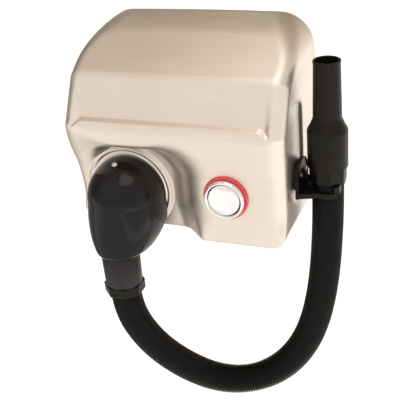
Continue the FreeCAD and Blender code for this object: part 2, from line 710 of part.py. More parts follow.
def hood_form(inset):
    """The hood's outer surface, or with an inset its inner one, as a solid.

    Above the outlet's centre it is a quarter of an ellipsoid. Below, it goes down as a half
    ellipse that narrows to the foot, and a slanting plane takes off the rear lower corner.
    """
    x, y, z = size("outlet_x"), size("hood_rear"), size("outlet_z")
    radius, reach = size("hood_radius") - inset, size("hood_reach") - inset
    bottom = size("hood_bottom") + inset

    def section(height, half_width, depth):
        turn = Rotation(Vector(0, 0, -1), 90)
        curve = Part.Ellipse(Vector(0, 0, 0), max(depth, half_width), min(depth, half_width))
        arc = curve.toShape(0, math.pi)
        if depth > half_width:
            arc = curve.toShape(-math.pi / 2, math.pi / 2)
        arc.Placement = Placement(Vector(x, y, height), turn)
        ends = [v.Point for v in arc.Vertexes]
        return Part.Wire([arc, Part.LineSegment(ends[1], ends[0]).toShape()])

    dome = Part.makeSphere(1)
    matrix = FreeCAD.Matrix()
    matrix.scale(radius, reach, radius)
    matrix.move(Vector(x, y, z))
    dome = dome.transformGeometry(matrix)
    dome = dome.common(Part.makeBox(200, 100, 100, Vector(x - 100, y - 100, z)))
    foot = Part.makeLoft([section(z, radius, reach),
                          section(bottom, size("hood_foot_half_width") - inset,
                                  size("hood_foot_reach") - inset)], True, True)
    form = dome.fuse(foot)
    low, high = size("hood_bottom") + inset * 1.4, -127 + inset * 1.4
    wedge = prism(Part.makePolygon([Vector(x - 80, y + 10, high + 12), Vector(x - 80, -157, low),
                                    Vector(x - 80, -157, -200), Vector(x - 80, y + 10, -200),
                                    Vector(x - 80, y + 10, high + 12)]), Vector(160, 0, 0))
    return form.cut(wedge)


def hood_mouth():
    """The arch-shaped way from the outlet into the hood."""
    x, y, z = size("outlet_x"), size("hood_rear") - 6, size("outlet_z")
    radius = size("hood_radius - hood_wall") - 0.4
    arch = Part.makeCylinder(radius, 12, Vector(x, y, z), Vector(0, 1, 0))
    legs = Part.makeBox(2 * radius, 12, 42, Vector(x - radius, y, z - 42))
    return arch.fuse(legs)


def make_hood():
    x, y = size("spigot_x"), size("spigot_y")
    shell = hood_form(0).cut(hood_form(size("hood_wall"))).cut(hood_mouth())
    hole = Part.makeCylinder(size("spigot_radius") + 0.1, 30,
                             Vector(x, y, size("hood_bottom") - 10))
    screw = Part.makeCylinder(1.8, 40, Vector(size("outlet_x"), -160, size("outlet_z") + 25),
                              HOOD_TILT.multVec(Vector(0, 0, 1)))
    shell = shell.cut(Part.makeCompound([hole, screw]))
    left, front, top = x - 100, size("rear_shell_front"), size("rear_shell_top")
    reach = 80
    seam = Part.makePolygon([
        Vector(left, front, top),
        Vector(left, front - reach * size("rear_shell_lean"), top - reach),
        Vector(left, front + reach, top - reach),
        Vector(left, front + reach, top - reach * size("rear_shell_fall")),
        Vector(left, front, top)])
    corner = prism(seam, Vector(200, 0, 0))
    keep(shaped("hood_front_shell", shell.cut(corner).removeSplitter()), "hood_front_shell")
    keep(shaped("hood_rear_shell", shell.common(corner).removeSplitter()), "hood_rear_shell")
    start = HOOD_TILT.multVec(Vector(0, 0, 1))
    at = Vector(size("outlet_x"), -160, size("outlet_z") + 25) + start * 8
    pieces = [Part.makeCylinder(1.6, 14.6, at, start),
              Part.makeCylinder(3.6, 2.2, at + start * 14.6, start)]
    keep(shaped("hood_screw", pieces[0].fuse(pieces[1]).removeSplitter()), "hood_screw")
    turned("hood_spigot", [
        ("spigot_radius - 5.3", "hose_start"), ("spigot_radius", "hose_start"),
        ("spigot_radius", "hood_bottom + 8"), ("spigot_radius - 5.3", "hood_bottom + 8"),
    ], ("spigot_x", "spigot_y", "0"))


# ---- hose, nuts and hand nozzle ----------------------------------------------------------------

def hose_path():
    """The route as straight runs joined by tangent arcs, with the arcs' radii."""
    points = [Vector(*p) for p in HOSE_ROUTE]
    edges, radii, start = [], [], points[0]
    for before, corner, after in zip(points, points[1:], points[2:]):
        back, ahead = before - corner, after - corner
        run = min(back.Length, ahead.Length)
        turn = math.pi - back.getAngle(ahead)
        reach = 0.45 * run
        radius = reach / math.tan(turn / 2)
        back.normalize()
        ahead.normalize()
        middle = (back + ahead).normalize()
        centre = corner + middle * (radius / math.cos(turn / 2))
        entry, leave = corner + back * reach, corner + ahead * reach
        edges.append(Part.LineSegment(start, entry).toShape())
        edges.append(Part.Arc(entry, centre - middle * radius, leave).toShape())
        radii.append(radius)
        start = leave
    edges.append(Part.LineSegment(start, points[-1]).toShape())
    return Part.Wire(edges), radii


def make_hose():
    path, radii = hose_path()
    radius = size("hose_radius")
    section = Part.Wire(Part.Circle(Vector(*HOSE_ROUTE[0]), Vector(0, 0, 1), radius).toShape())
    tube = path.makePipeShell([section], True, True)
    expected = math.pi * radius ** 2 * path.Length
    print("hose: length %.1f mm, bend radii %s mm" % (path.Length, [round(r) for r in radii]))
    print("hose: volume is %.4f of section times length" % (tube.Volume / expected))
    keep(shaped("air_hose", tube), "air_hose")


def make_nut(label, radius, at, height, upper_bore, upper_depth):
    """An octagonal hose nut, bored for the hose below and wider for the pipe above."""
    body = new_body(label, at)
    flats = new_sketch(body, "XY_Plane", label + "_flats")
    draw_octagon(flats, radius)
    draw_circle(flats, "hose_radius + nut_gap")
    pad(body, flats, height)
    if upper_bore:
        socket = new_sketch(body, "XY_Plane", label + "_socket")
        socket.AttachmentOffset = Placement(Vector(0, 0, size(height)), Rotation())
        draw_circle(socket, upper_bore)
        pocket(body, socket, upper_depth, reverse=False)
    return body


def make_hand_nozzle():
    wall = "nozzle_wall"
    make_nut("lower_hose_nut", "lower_nut_radius",
             ("spigot_x", "spigot_y", "lower_nut_bottom"), "lower_nut_top - lower_nut_bottom",
             "spigot_radius + 0.1", "lower_nut_top - hose_start + 0.1")
    make_nut("upper_hose_nut", "upper_nut_radius", ("nozzle_x", "nozzle_y", "upper_nut_bottom"),
             "cuff_bottom - upper_nut_bottom", None, None)
    turned("hand_nozzle", [
        ("cuff_radius - " + wall, "cuff_bottom"), ("cuff_radius", "cuff_bottom"),
        ("cuff_radius", "cuff_top"), ("tip_radius", "cone_top"),
        ("mouth_radius", "mouth_height"), ("mouth_bore", "mouth_height"),
        ("mouth_bore", "mouth_height - mouth_bore_length"),
        ("tip_radius - %s" % wall, "cone_top"), ("cuff_radius - " + wall, "cuff_top"),
    ], ("nozzle_x", "nozzle_y", "0"))


# ---- holder on the cover's side ----------------------------------------------------------------

def make_holder():
    """A plate with a forked shelf: the nozzle's nut stands in it, the hose hangs through it."""
    x, y = size("nozzle_x"), size("nozzle_y")
    face, thick = size("holder_plate_face"), size("holder_plate_thickness")
    cy, cz, radius = size("holder_y"), size("holder_z"), size("holder_plate_radius")
    bottom, top = size("shelf_bottom"), size("shelf_top")

    def slab(low, high):
        return Part.makeBox(*(b - a for a, b in zip(low, high)), Vector(*low))

    def tube(inner, outer, low, high):
        shell = Part.makeCylinder(outer, high - low, Vector(x, y, low))
        return shell.cut(Part.makeCylinder(inner, high - low, Vector(x, y, low)))

    arch = Part.makeCylinder(radius, thick, Vector(face, cy, cz), Vector(1, 0, 0))
    plate = arch.fuse(slab((face, cy - radius, bottom), (face + thick, cy + radius, cz)))
    back = size("cover_width / 2") - size("recess_depth") + 0.3
    boss = Part.makeCylinder(radius - 5, face - back, Vector(back, cy + 2, cz), Vector(1, 0, 0))
    shelf = slab((face, y - 22, bottom), (x - 4, y + 22, top)).fuse(
        tube(size("slot_radius"), size("cradle_radius") - 2, bottom, top))
    slot = Part.makeCylinder(size("slot_radius"), 60, Vector(x, y, bottom - 10))
    mouth = slab((x, y - size("slot_radius"), bottom - 10), (x + 60, y + size("slot_radius"), 0))
    ledge = tube(size("slot_radius") + 0.2, size("cradle_radius"), top, size("ledge_top"))
    tips = slab((x + 12, y - 40, top), (x + 18, y + 40, 0))
    root = slab((x - 40, y - 13, top), (x - 14, y + 13, 0))
    lips = ledge.common(tips.fuse(root))
    rib_y, rib_end = cy + 4, x - 25
    rib = prism(Part.makePolygon([
        Vector(face + thick, rib_y, top), Vector(rib_end, rib_y, top),
        Vector(rib_end, rib_y, size("rib_top")), Vector(face + thick, rib_y, cz + 18),
        Vector(face + thick, rib_y, top)]), Vector(0, 4.5, 0))
    body = plate.fuse([boss, shelf.cut(slot).cut(mouth), lips, rib])
    holes = [Part.makeCylinder(size("screw_radius") - 0.9, 20, Vector(128, py, cz + 3),
                               Vector(1, 0, 0)) for py in holder_screw_places()]
    keep(shaped("hose_holder", body.cut(Part.makeCompound(holes)).removeSplitter()),
         "hose_holder")
    screws = []
    for py in holder_screw_places():
        shank = Part.makeCylinder(size("screw_radius") - 0.9, 16,
                                  Vector(face + thick - 16, py, cz + 3), Vector(1, 0, 0))
        head = Part.makeCylinder(3.2, 1.2, Vector(face + thick, py, cz + 3), Vector(1, 0, 0))
        screws.append(shank.fuse(head).removeSplitter())
    keep(shaped("holder_screws", Part.makeCompound(screws)), "holder_screws")


# ---- push button and its switch ----------------------------------------------------------------

def make_button():
    """Heights run forward from the wall, so they are the depths with their sign changed."""
    at = ("button_x", "0", "button_z")
    cap_skirt = "-cap_front - 13"
    turned("button_cap", [
        ("stem_radius", cap_skirt), ("cap_radius", cap_skirt), ("cap_radius", "-cap_front - 4.2"),
        ("cap_radius - 1.6", "-cap_front - 2.6"), ("cap_radius * 0.62", "-cap_front - 0.9"),
        ("cap_radius * 0.3", "-cap_front - 0.2"), ("0", "-cap_front"),
        ("0", "-cap_front - 8"), ("stem_radius", "-cap_front - 8"),
    ], at, FORWARD)
    turned("button_stem", [
        ("0", "-stem_rear"), ("1.2", "-stem_rear"), ("1.2", "-stem_rear + 2.5"),
        ("stem_radius", "-stem_rear + 2.5"), ("stem_radius", "-cap_front - 8"),
        ("0", "-cap_front - 8"),
    ], at, FORWARD)
    turned("button_bezel", [
        ("stem_radius + 0.3", "-sleeve_rear"), ("sleeve_radius", "-sleeve_rear"),
        ("sleeve_radius", "-ring_front + 0.1"), ("bezel_radius", "-ring_front + 0.1"),
        ("bezel_radius", "-bezel_front - 1"), ("bezel_radius - 1.2", "-bezel_front"),
        ("sleeve_bore", "-bezel_front"), ("sleeve_bore", "-sleeve_rear + 2.4"),
        ("stem_radius + 0.3", "-sleeve_rear + 2.4"),
    ], at, FORWARD)
    turned("button_ring", [
        ("sleeve_radius + 0.1", "cover_depth + 0.1"), ("ring_radius", "cover_depth + 0.1"),
        ("ring_radius", "-ring_front - 0.6"), ("ring_radius - 0.6", "-ring_front"),
        ("sleeve_radius + 0.1", "-ring_front"),
    ], at, FORWARD)
    turned("button_nut", [
        ("sleeve_radius + 0.1", "cover_depth - 10.5"), ("26", "cover_depth - 10.5"),
        ("26", "cover_depth - 5"), ("sleeve_radius + 0.1", "cover_depth - 5"),
    ], at, FORWARD)
    coils = [ring("button_coil%d" % i, "8.5", "0.7", ("button_x", "-140.2 - %d * 2.6" % i,
                                                     "button_z"), FORWARD) for i in range(5)]
    keep(together("button_coil_group", *coils), "button_spring")


def make_switch():
    """A snap switch on a bracket behind the button; its lever leans on the button's stem."""
    centre = "button_x - 2"
    left, right = (centre + " - 16", centre + " + 16")
    body = block("switch_case", (left, right), ("-125.2", "-108"),
                 ("button_z - 5", "button_z + 5"))
    ears = [block("switch_ear%d" % i, (left, left + " + 5"), ("-133", "-125.2"),
                  ("button_z + %s" % low, "button_z + %s" % high))
            for i, (low, high) in enumerate((("-5", "-3.2"), ("3.2", "5")))]
    pivot = (left + " + 2.5", "-130.4", "button_z - 6")
    bore = rod("switch_bore", "1.1", "12", pivot)
    keep(less("switch_unit", together("switch_blank", body, *ears), bore), "switch_body")
    pin = rod("lever_pin", "1.05", "9.6", (left + " + 2.5", "-130.4", "button_z - 4.8"))
    blade = block("lever_blade", (left + " + 2.5", left + " + 21"), ("-131.4", "-130.8"),
                  ("button_z - 2.9", "button_z + 2.9"))
    keep(together("lever_strip", pin, blade), "switch_lever")
    web = block("bracket_web", ("button_x - 24", "button_x + 24"), ("-108", "-106"),
                ("button_z - 9", "button_z + 9"))
    arms = [block("bracket_arm%d" % i, ("button_x + %s" % low, "button_x + %s" % high),
                  ("-136", "-106"), ("button_z - 9", "button_z + 9"))
            for i, (low, high) in enumerate((("-24", "-22"), ("22", "24")))]
    feet = [block("bracket_foot%d" % i, ("button_x + %s" % low, "button_x + %s" % high),
                  ("-136", "-134.5"), ("button_z - 9", "button_z + 9"))
            for i, (low, high) in enumerate((("-24", "-15"), ("15", "24")))]
    keep(together("bracket_strip", web, *arms, *feet), "switch_bracket")


make_cover()
make_wall_plate()
make_plate_fittings()
make_control_board()
make_scroll()
make_impeller()
make_rotor()
make_motor()
make_plenum()
make_heater()
make_collar()
make_hood()
make_hose()
make_hand_nozzle()
make_holder()
make_button()
make_switch()
doc.recompute()

failed = [o.Label for o in doc.Objects if {"Invalid", "Error"} & set(o.State)]
if failed:
    raise RuntimeError("failed objects: " + ", ".join(failed))
os.makedirs("parts", exist_ok=True)
for label, thing in nodes.items():
    shape = thing.Shape
    if shape.isNull() or not shape.isValid() or not shape.Solids:
        raise RuntimeError(label + " has no valid solid")
    shape.exportStep(os.path.join("parts", label + ".step"))
print("%d sub-parts written" % len(nodes))
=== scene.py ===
"""Looks of a wall-hung warm-air blower with a hose and a hand nozzle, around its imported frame."""

import json
import math

import bmesh
import bpy
import numpy as np
from mathutils import Matrix, Vector


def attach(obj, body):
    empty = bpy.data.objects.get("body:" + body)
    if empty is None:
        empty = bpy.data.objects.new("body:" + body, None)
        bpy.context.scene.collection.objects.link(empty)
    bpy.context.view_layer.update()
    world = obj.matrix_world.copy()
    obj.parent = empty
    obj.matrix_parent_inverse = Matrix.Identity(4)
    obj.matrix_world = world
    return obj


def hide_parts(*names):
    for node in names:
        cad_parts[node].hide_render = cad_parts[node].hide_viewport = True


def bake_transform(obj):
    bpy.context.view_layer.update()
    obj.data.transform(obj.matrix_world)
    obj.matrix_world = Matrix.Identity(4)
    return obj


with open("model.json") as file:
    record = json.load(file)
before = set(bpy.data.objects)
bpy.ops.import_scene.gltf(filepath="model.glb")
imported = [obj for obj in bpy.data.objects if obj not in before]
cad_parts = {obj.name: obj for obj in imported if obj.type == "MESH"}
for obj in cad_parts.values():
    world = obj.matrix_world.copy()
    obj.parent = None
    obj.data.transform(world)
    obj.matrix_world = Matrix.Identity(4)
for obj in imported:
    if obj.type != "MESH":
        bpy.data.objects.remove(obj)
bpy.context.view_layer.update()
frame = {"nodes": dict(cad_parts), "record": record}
MM = 0.001


# ---- camera ------------------------------------------------------------------------------------

VIEW_ANGLES = (23.03, 27.37, -5.15)    # azimuth, elevation and roll in degrees
VIEW_TARGET, VIEW_DISTANCE = (0.0043, -0.080, -0.1131), 1.083
LENS, SENSOR = 75.63, 36


def place_camera():
    """Right of the object, above it, a little rolled, looking at its middle."""
    azimuth, elevation, roll = [math.radians(angle) for angle in VIEW_ANGLES]
    back = Vector((math.sin(azimuth) * math.cos(elevation),
                   -math.cos(azimuth) * math.cos(elevation), math.sin(elevation)))
    right = Vector((0, 0, 1)).cross(back).normalized()
    up = back.cross(right)
    across = right * math.cos(roll) + up * math.sin(roll)
    upward = up * math.cos(roll) - right * math.sin(roll)
    camera = bpy.data.objects.new("camera", bpy.data.cameras.new("camera"))
    bpy.context.scene.collection.objects.link(camera)
    turn = Matrix((across, upward, back)).transposed().to_4x4()
    camera.matrix_world = Matrix.Translation(Vector(VIEW_TARGET) + back * VIEW_DISTANCE) @ turn
    camera.data.lens, camera.data.sensor_width = LENS, SENSOR
    bpy.context.scene.camera = camera


place_camera()


# ---- materials ---------------------------------------------------------------------------------

class Nodes:
    """A material's or sky's node tree, with short calls for the nodes that they share."""

    def __init__(self, owner):
        owner.use_nodes = True
        self.owner = owner
        self.tree = owner.node_tree

    def node(self, kind, **inputs):
        made = self.tree.nodes.new("ShaderNode" + kind)
        for key, value in inputs.items():
            self.feed(made.inputs[key.replace("_", " ")], value)
        return made

    def feed(self, socket, value):
        if isinstance(value, bpy.types.NodeSocket):
            self.tree.links.new(value, socket)
        else:
            socket.default_value = value

    def set(self, **inputs):
        """Feeds the material's shader."""
        shader = self.tree.nodes["Principled BSDF"]
        for key, value in inputs.items():
            self.feed(shader.inputs[key.replace("_", " ")], value)

    def place(self, stretch=(1, 1, 1), uv=None):
        """Object coordinates, or a UV map's, stretched along each axis."""
        if uv:
            source = self.tree.nodes.new("ShaderNodeUVMap")
            source.uv_map = uv
            coordinates = source.outputs["UV"]
        else:
            coordinates = self.tree.nodes.new("ShaderNodeTexCoord").outputs["Object"]
        mapping = self.node("Mapping", Vector=coordinates, Scale=stretch)
        return mapping.outputs["Vector"]

    def noise(self, scale, detail=3.0, roughness=0.5, stretch=(1, 1, 1), uv=None):
        made = self.node("TexNoise", Vector=self.place(stretch, uv), Scale=scale, Detail=detail,
                         Roughness=roughness)
        return made.outputs["Fac"]

    def range(self, value, low, high, start=0.25, end=0.75):
        made = self.node("MapRange", Value=value)
        for key, number in (("From Min", start), ("From Max", end), ("To Min", low),
                            ("To Max", high)):
            made.inputs[key].default_value = number
        return made.outputs["Result"]

    def ramp(self, value, *stops):
        """A colour for each (position, colour) stop."""
        made = self.node("ValToRGB", Fac=value)
        elements = made.color_ramp.elements
        while len(elements) < len(stops):
            elements.new(0.5)
        for element, (position, colour) in zip(elements, stops):
            element.position = position
            element.color = (*colour, 1)
        return made.outputs["Color"]

    def bump(self, height, strength, distance):
        return self.node("Bump", Height=height, Strength=strength,
                         Distance=distance).outputs["Normal"]

    def multiply(self, one, other):
        """Two colours multiplied."""
        made = self.node("Mix")
        made.data_type, made.blend_type = "RGBA", "MULTIPLY"
        for number, value in ((0, 1.0), (6, one), (7, other)):
            self.feed(made.inputs[number], value)
        return made.outputs[2]

    def along(self, place, direction):
        """How far a place lies along a direction."""
        made = self.node("VectorMath")
        made.operation = "DOT_PRODUCT"
        self.feed(made.inputs[0], place)
        self.feed(made.inputs[1], direction)
        return made.outputs["Value"]


def shade(colour, factor):
    return tuple(min(1.0, part * factor) for part in colour)


def moulded(name, colour, rough, grain=0.25, grain_size=0.0007, gloss=0.3, spread=0.12):
    """A moulded plastic: fine grain in its surface, faint clouds in its colour and gloss."""
    nodes = Nodes(bpy.data.materials.new(name))
    clouds = nodes.noise(18, detail=5)
    grains = nodes.noise(1 / grain_size, detail=2)
    nodes.set(Base_Color=nodes.ramp(clouds, (0.3, shade(colour, 1 - spread)),
                                    (0.7, shade(colour, 1 + spread))),
              Roughness=nodes.range(clouds, rough * 0.85, rough * 1.15),
              Normal=nodes.bump(grains, grain, grain_size * 0.15), Specular_IOR_Level=gloss)
    return nodes.owner


def metal(name, colour, rough, scratch=0.15, size=0.0006):
    """A bare metal with fine marks and faint clouds in its colour."""
    nodes = Nodes(bpy.data.materials.new(name))
    clouds = nodes.noise(22, detail=4)
    marks = nodes.noise(1 / size, detail=2)
    nodes.set(Base_Color=nodes.ramp(clouds, (0.3, shade(colour, 0.9)), (0.7, shade(colour, 1.06))),
              Metallic=1.0, Roughness=nodes.range(marks, rough * 0.7, rough * 1.3),
              Normal=nodes.bump(marks, scratch, size * 0.12))
    return nodes.owner


def brushed_cover():
    """Warm stainless steel, brushed level: its lines follow the UV map's U direction."""
    nodes = Nodes(bpy.data.materials.new("brushed_cover"))
    lines = nodes.noise(1, detail=2, roughness=0.6, stretch=(9, 1500, 1), uv="brushing")
    bands = nodes.noise(1, detail=3, stretch=(5, 90, 1), uv="brushing")
    clouds = nodes.noise(9, detail=3)
    colour = nodes.ramp(clouds, (0.3, (0.79, 0.715, 0.645)), (0.5, (0.81, 0.740, 0.675)),
                        (0.72, (0.82, 0.760, 0.705)))
    streaks = nodes.ramp(lines, (0.3, (0.93, 0.93, 0.93)), (0.7, (1, 1, 1)))
    tangent = nodes.tree.nodes.new("ShaderNodeTangent")
    tangent.direction_type, tangent.uv_map = "UV_MAP", "brushing"
    nodes.set(Base_Color=nodes.multiply(colour, streaks), Metallic=1.0,
              Roughness=nodes.range(bands, 0.40, 0.50), Anisotropic=0.30,
              Anisotropic_Rotation=0.25, Tangent=tangent.outputs["Tangent"],
              Normal=nodes.bump(lines, 0.10, 0.00006))
    return nodes.owner


def clear_red():
    """A red plastic that light goes into."""
    nodes = Nodes(bpy.data.materials.new("clear_red"))
    clouds = nodes.noise(60, detail=3)
    nodes.set(Base_Color=nodes.ramp(clouds, (0.3, (0.70, 0.012, 0.03)), (0.7, (0.86, 0.03, 0.05))),
              Roughness=nodes.range(clouds, 0.08, 0.16), Coat_Weight=1.0, Coat_Roughness=0.03,
              Subsurface_Weight=0.5, Subsurface_Radius=(0.004, 0.0006, 0.0006),
              Subsurface_Scale=1.0, Normal=nodes.bump(nodes.noise(300), 0.1, 0.00005))
    return nodes.owner


def laminated():
    """Stacked sheet steel: thin dark lines across the fan's axis."""
    nodes = Nodes(bpy.data.materials.new("laminated"))
    sheets = nodes.noise(1, detail=1, stretch=(4, 1800, 4))
    nodes.set(Base_Color=nodes.ramp(sheets, (0.4, (0.10, 0.095, 0.09)), (0.6, (0.36, 0.35, 0.34))),
              Metallic=0.9, Roughness=nodes.range(sheets, 0.4, 0.6),
              Normal=nodes.bump(sheets, 0.4, 0.0001))
    return nodes.owner


FINISHES = {
    "brushed_steel": brushed_cover(),
    "cast_plate": moulded("cast_plate", (0.46, 0.46, 0.47), 0.5, 0.5, 0.0012, spread=0.08),
    "zinc_steel": metal("zinc_steel", (0.62, 0.62, 0.60), 0.32),
    "bright_steel": metal("bright_steel", (0.72, 0.72, 0.73), 0.2),
    "motor_paint": moulded("motor_paint", (0.02, 0.02, 0.022), 0.4, 0.3, 0.001),
    "lamination": laminated(),
    "copper": metal("copper", (0.78, 0.42, 0.26), 0.3),
    "carbon": moulded("carbon", (0.012, 0.012, 0.012), 0.6, 0.5, 0.0005),
    "casing_plastic": moulded("casing_plastic", (0.02, 0.02, 0.022), 0.5),
    "mica": moulded("mica", (0.52, 0.42, 0.27), 0.45, 0.5, 0.002, spread=0.2),
    "black_gloss": moulded("black_gloss", (0.008, 0.0070, 0.0085), 0.12, 0.03, 0.002, gloss=0.21),
    "grey_plastic": moulded("grey_plastic", (0.024, 0.022, 0.025), 0.30, 0.25, 0.0008, gloss=0.25),
    "black_plastic": moulded("black_plastic", (0.008, 0.0070, 0.0062), 0.36, 0.3, 0.0007,
                             gloss=0.16),
    "hose_plastic": moulded("hose_plastic", (0.004, 0.0036, 0.0033), 0.30, 0.2, 0.0006,
                            gloss=0.18),
    "rubber": moulded("rubber", (0.012, 0.012, 0.012), 0.7, 0.4, 0.0009),
    "board_green": moulded("board_green", (0.01, 0.12, 0.04), 0.3, 0.3, 0.002),
    "part_plastic": moulded("part_plastic", (0.05, 0.05, 0.055), 0.42),
    "chrome": metal("chrome", (0.88, 0.88, 0.90), 0.06, 0.03, size=0.002),
    "red_plastic": clear_red(),
}
slot_of = {part["node"]: part["material_slot"] for part in frame["record"]["subparts"]}
for node_name, node in frame["nodes"].items():
    node.data.materials.clear()
    node.data.materials.append(FINISHES[slot_of[node_name]])


# ---- making pieces -----------------------------------------------------------------------------

def piece(name, points, faces, stands_for, body="root"):
    """A smooth mesh which replaces CAD nodes, takes their finish and rides on a body."""
    thing = solid(name, points, faces)
    slot = slot_of[stands_for[0]]
    thing.data.materials.append(FINISHES[slot])
    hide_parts(*stands_for)
    if body:
        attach(thing, body)
    return thing


def solid(name, points, faces):
    """A smooth mesh from points in millimetres."""
    mesh = bpy.data.meshes.new(name)
    mesh.from_pydata([[float(c) * MM for c in point] for point in points], [], faces)
    thing = bpy.data.objects.new(name, mesh)
    bpy.context.scene.collection.objects.link(thing)
    finish(thing)
    return thing


def finish(thing, merge=1e-6):
    """Joins the mesh's double points, turns its faces outward and shades it smooth."""
    work = bmesh.new()
    work.from_mesh(thing.data)
    bmesh.ops.remove_doubles(work, verts=work.verts, dist=merge)
    bmesh.ops.recalc_face_normals(work, faces=work.faces)
    work.to_mesh(thing.data)
    work.free()
    thing.data.shade_smooth()


def settle(thing):
    """Makes the piece's modifiers part of its mesh."""
    graph = bpy.context.evaluated_depsgraph_get()
    done = bpy.data.meshes.new_from_object(thing.evaluated_get(graph))
    thing.modifiers.clear()
    thing.data = done


def soften(thing, width, segments=3, angle=30):
    """Bevels a piece's sharp edges and shades it by its larger faces."""
    bevel = thing.modifiers.new("edges", "BEVEL")
    bevel.width, bevel.segments, bevel.limit_method = width * MM, segments, "ANGLE"
    bevel.angle_limit = math.radians(angle)
    bevel.harden_normals = False
    shading = thing.modifiers.new("shading", "WEIGHTED_NORMAL")
    shading.keep_sharp = False
    settle(thing)


def thicken(thing, thickness):
    """Gives a sheet its thickness, inward from the surface that was drawn."""
    wall = thing.modifiers.new("wall", "SOLIDIFY")
    wall.thickness, wall.offset = thickness * MM, -1
    settle(thing)


def grid_faces(rows, columns, start=0):
    """Quads between rows of points, each row closed into a ring."""
    faces = []
    for row in range(rows - 1):
        for column in range(columns):
            right = (column + 1) % columns
            a, b = start + row * columns, start + (row + 1) * columns
            faces.append((a + column, a + right, b + right, b + column))
    return faces


def cap_faces(rows, columns, pole):
    """Triangles from the last row of a grid to a single point that closes it."""
    last = (rows - 1) * columns
    return [(last + i, last + (i + 1) % columns, pole) for i in range(columns)]


def rounded(outline, closed=False, steps=6):
    """An outline of (u, v, rounding) corners, with each rounded corner as a curve."""
    points = []
    count = len(outline)
    for index, (u, v, rounding) in enumerate(outline):
        corner = np.array([u, v], float)
        inner = closed or 0 < index < count - 1
        if not rounding or not inner:
            points.append(corner)
            continue
        back = np.array(outline[index - 1][:2], float) - corner
        ahead = np.array(outline[(index + 1) % count][:2], float) - corner
        reach = min(rounding, 0.48 * np.hypot(*back), 0.48 * np.hypot(*ahead))
        start = corner + back / np.hypot(*back) * reach
        end = corner + ahead / np.hypot(*ahead) * reach
        for step in np.linspace(0, 1, steps):
            points.append(start * (1 - step) ** 2 + corner * 2 * step * (1 - step)
                          + end * step ** 2)
    return np.array(points)


def lathe(outline, centre, axis="z", segments=128):
    """Points and faces of a closed (radius, height, rounding) outline turned about an axis.

    Heights run up for axis z and forward, away from the wall, for axis y.
    """
    profile = rounded(outline, closed=True)
    turns = np.linspace(0, 2 * math.pi, segments, endpoint=False)
    points = []
    for radius, height in profile:
        u, v = radius * np.cos(turns), radius * np.sin(turns)
        if axis == "z":
            ring = np.stack([u, v, np.full(segments, height)], 1)
        else:
            ring = np.stack([u, np.full(segments, -height), v], 1)
        points.extend(ring + np.array(centre, float))
    count = len(profile)
    faces = grid_faces(count, segments)
    last = (count - 1) * segments
    faces += [(last + i, last + (i + 1) % segments, (i + 1) % segments, i)
              for i in range(segments)]
    return points, faces


def arc(centre, radius, start, end, steps=40):
    """Points along an arc between two angles in degrees."""
    turns = np.radians(np.linspace(start, end, steps))
    return [(centre[0] + radius * math.cos(turn), centre[1] + radius * math.sin(turn))
            for turn in turns]


def drawn_out(outline, low, high, axis="z", start=0):
    """Points and faces of a closed outline drawn out along an axis.

    The outline's two coordinates are the other two axes'; start is the first point's number.
    """
    count = len(outline)
    places = {"x": lambda u, v, w: (w, u, v), "y": lambda u, v, w: (u, w, v),
              "z": lambda u, v, w: (u, v, w)}
    points = [places[axis](u, v, level) for level in (low, high) for u, v in outline]
    faces = grid_faces(2, count, start=start)
    faces.append(tuple(start + i for i in range(count)))
    faces.append(tuple(start + count + i for i in reversed(range(count))))
    return points, faces


def block(outline, low, high, axis="z"):
    """A closed outline drawn out along an axis."""
    return solid("block", *drawn_out(outline, low, high, axis))


def combine(base, tools, operation):
    """Joins tools to a block, cuts them from it or keeps what they share, and removes them."""
    for tool in tools:
        change = base.modifiers.new("combine", "BOOLEAN")
        change.object, change.operation, change.solver = tool, operation, "MANIFOLD"
        settle(base)
        bpy.data.objects.remove(tool)
    return base


def box_outline(u_low, u_high, v_low, v_high):
    return [(u_low, v_low), (u_high, v_low), (u_high, v_high), (u_low, v_high)]


def round_block(centre, radius, low, high, axis="z", steps=60):
    """A disc or cylinder; its outline's last point stops just short of its first."""
    return block(arc(centre, radius, 0, 354, steps), low, high, axis)


def crossed_screw(name, outline, base, up, across, cross_width, stands_for):
    """A round-headed screw from a (radius, height, rounding) outline; its slot forms a cross.

    The outline's last three points lie in the slot, and cross_width is the share of their
    radius that is left between the arms of the cross.
    """
    segments, slot_rows = 48, 3
    profile = rounded(outline)
    deep = np.cross(up, across)
    points = []
    for index, (radius, height) in enumerate(profile):
        in_slot = index >= len(profile) - slot_rows
        for turn in np.linspace(0, 2 * math.pi, segments, endpoint=False):
            arms = cross_width + (1 - cross_width) * abs(math.cos(2 * turn)) ** 3
            spoke = across * math.cos(turn) + deep * math.sin(turn)
            points.append(base + spoke * radius * (arms if in_slot else 1.0) + up * height)
    piece(name, points, grid_faces(len(profile), segments), stands_for)


def smooth_step(value):
    """Nought below nought, one above one, and a smooth rise between."""
    value = np.clip(value, 0, 1)
    return value * value * (3 - 2 * value)


def round_max(a, b, radius):
    """The larger of two distances, with a rounded edge where they meet."""
    corner = np.hypot(np.maximum(radius + a, 0), np.maximum(radius + b, 0))
    return np.minimum(-radius, np.maximum(a, b)) + corner


def soft_ramp(value, width):
    """Nought below nought and the value above it, with a rounded start."""
    return (value + np.hypot(value, width) - width) / 2


HALVINGS = 34    # enough to bring a ray's end to within a millionth of a millimetre


def hit(form, origin, targets, reach):
    """Where rays from a point inside a form, through targets, leave it."""
    origin = np.array(origin, float)
    way = targets - origin
    way /= np.linalg.norm(way, axis=-1, keepdims=True)
    low, high = np.zeros(way.shape[:-1]), np.full(way.shape[:-1], float(reach))
    for _ in range(HALVINGS):
        middle = (low + high) / 2
        point = origin + way * middle[..., None]
        inside = form(point[..., 0], point[..., 1], point[..., 2]) < 0
        low, high = np.where(inside, middle, low), np.where(inside, high, middle)
    return origin + way * low[..., None]


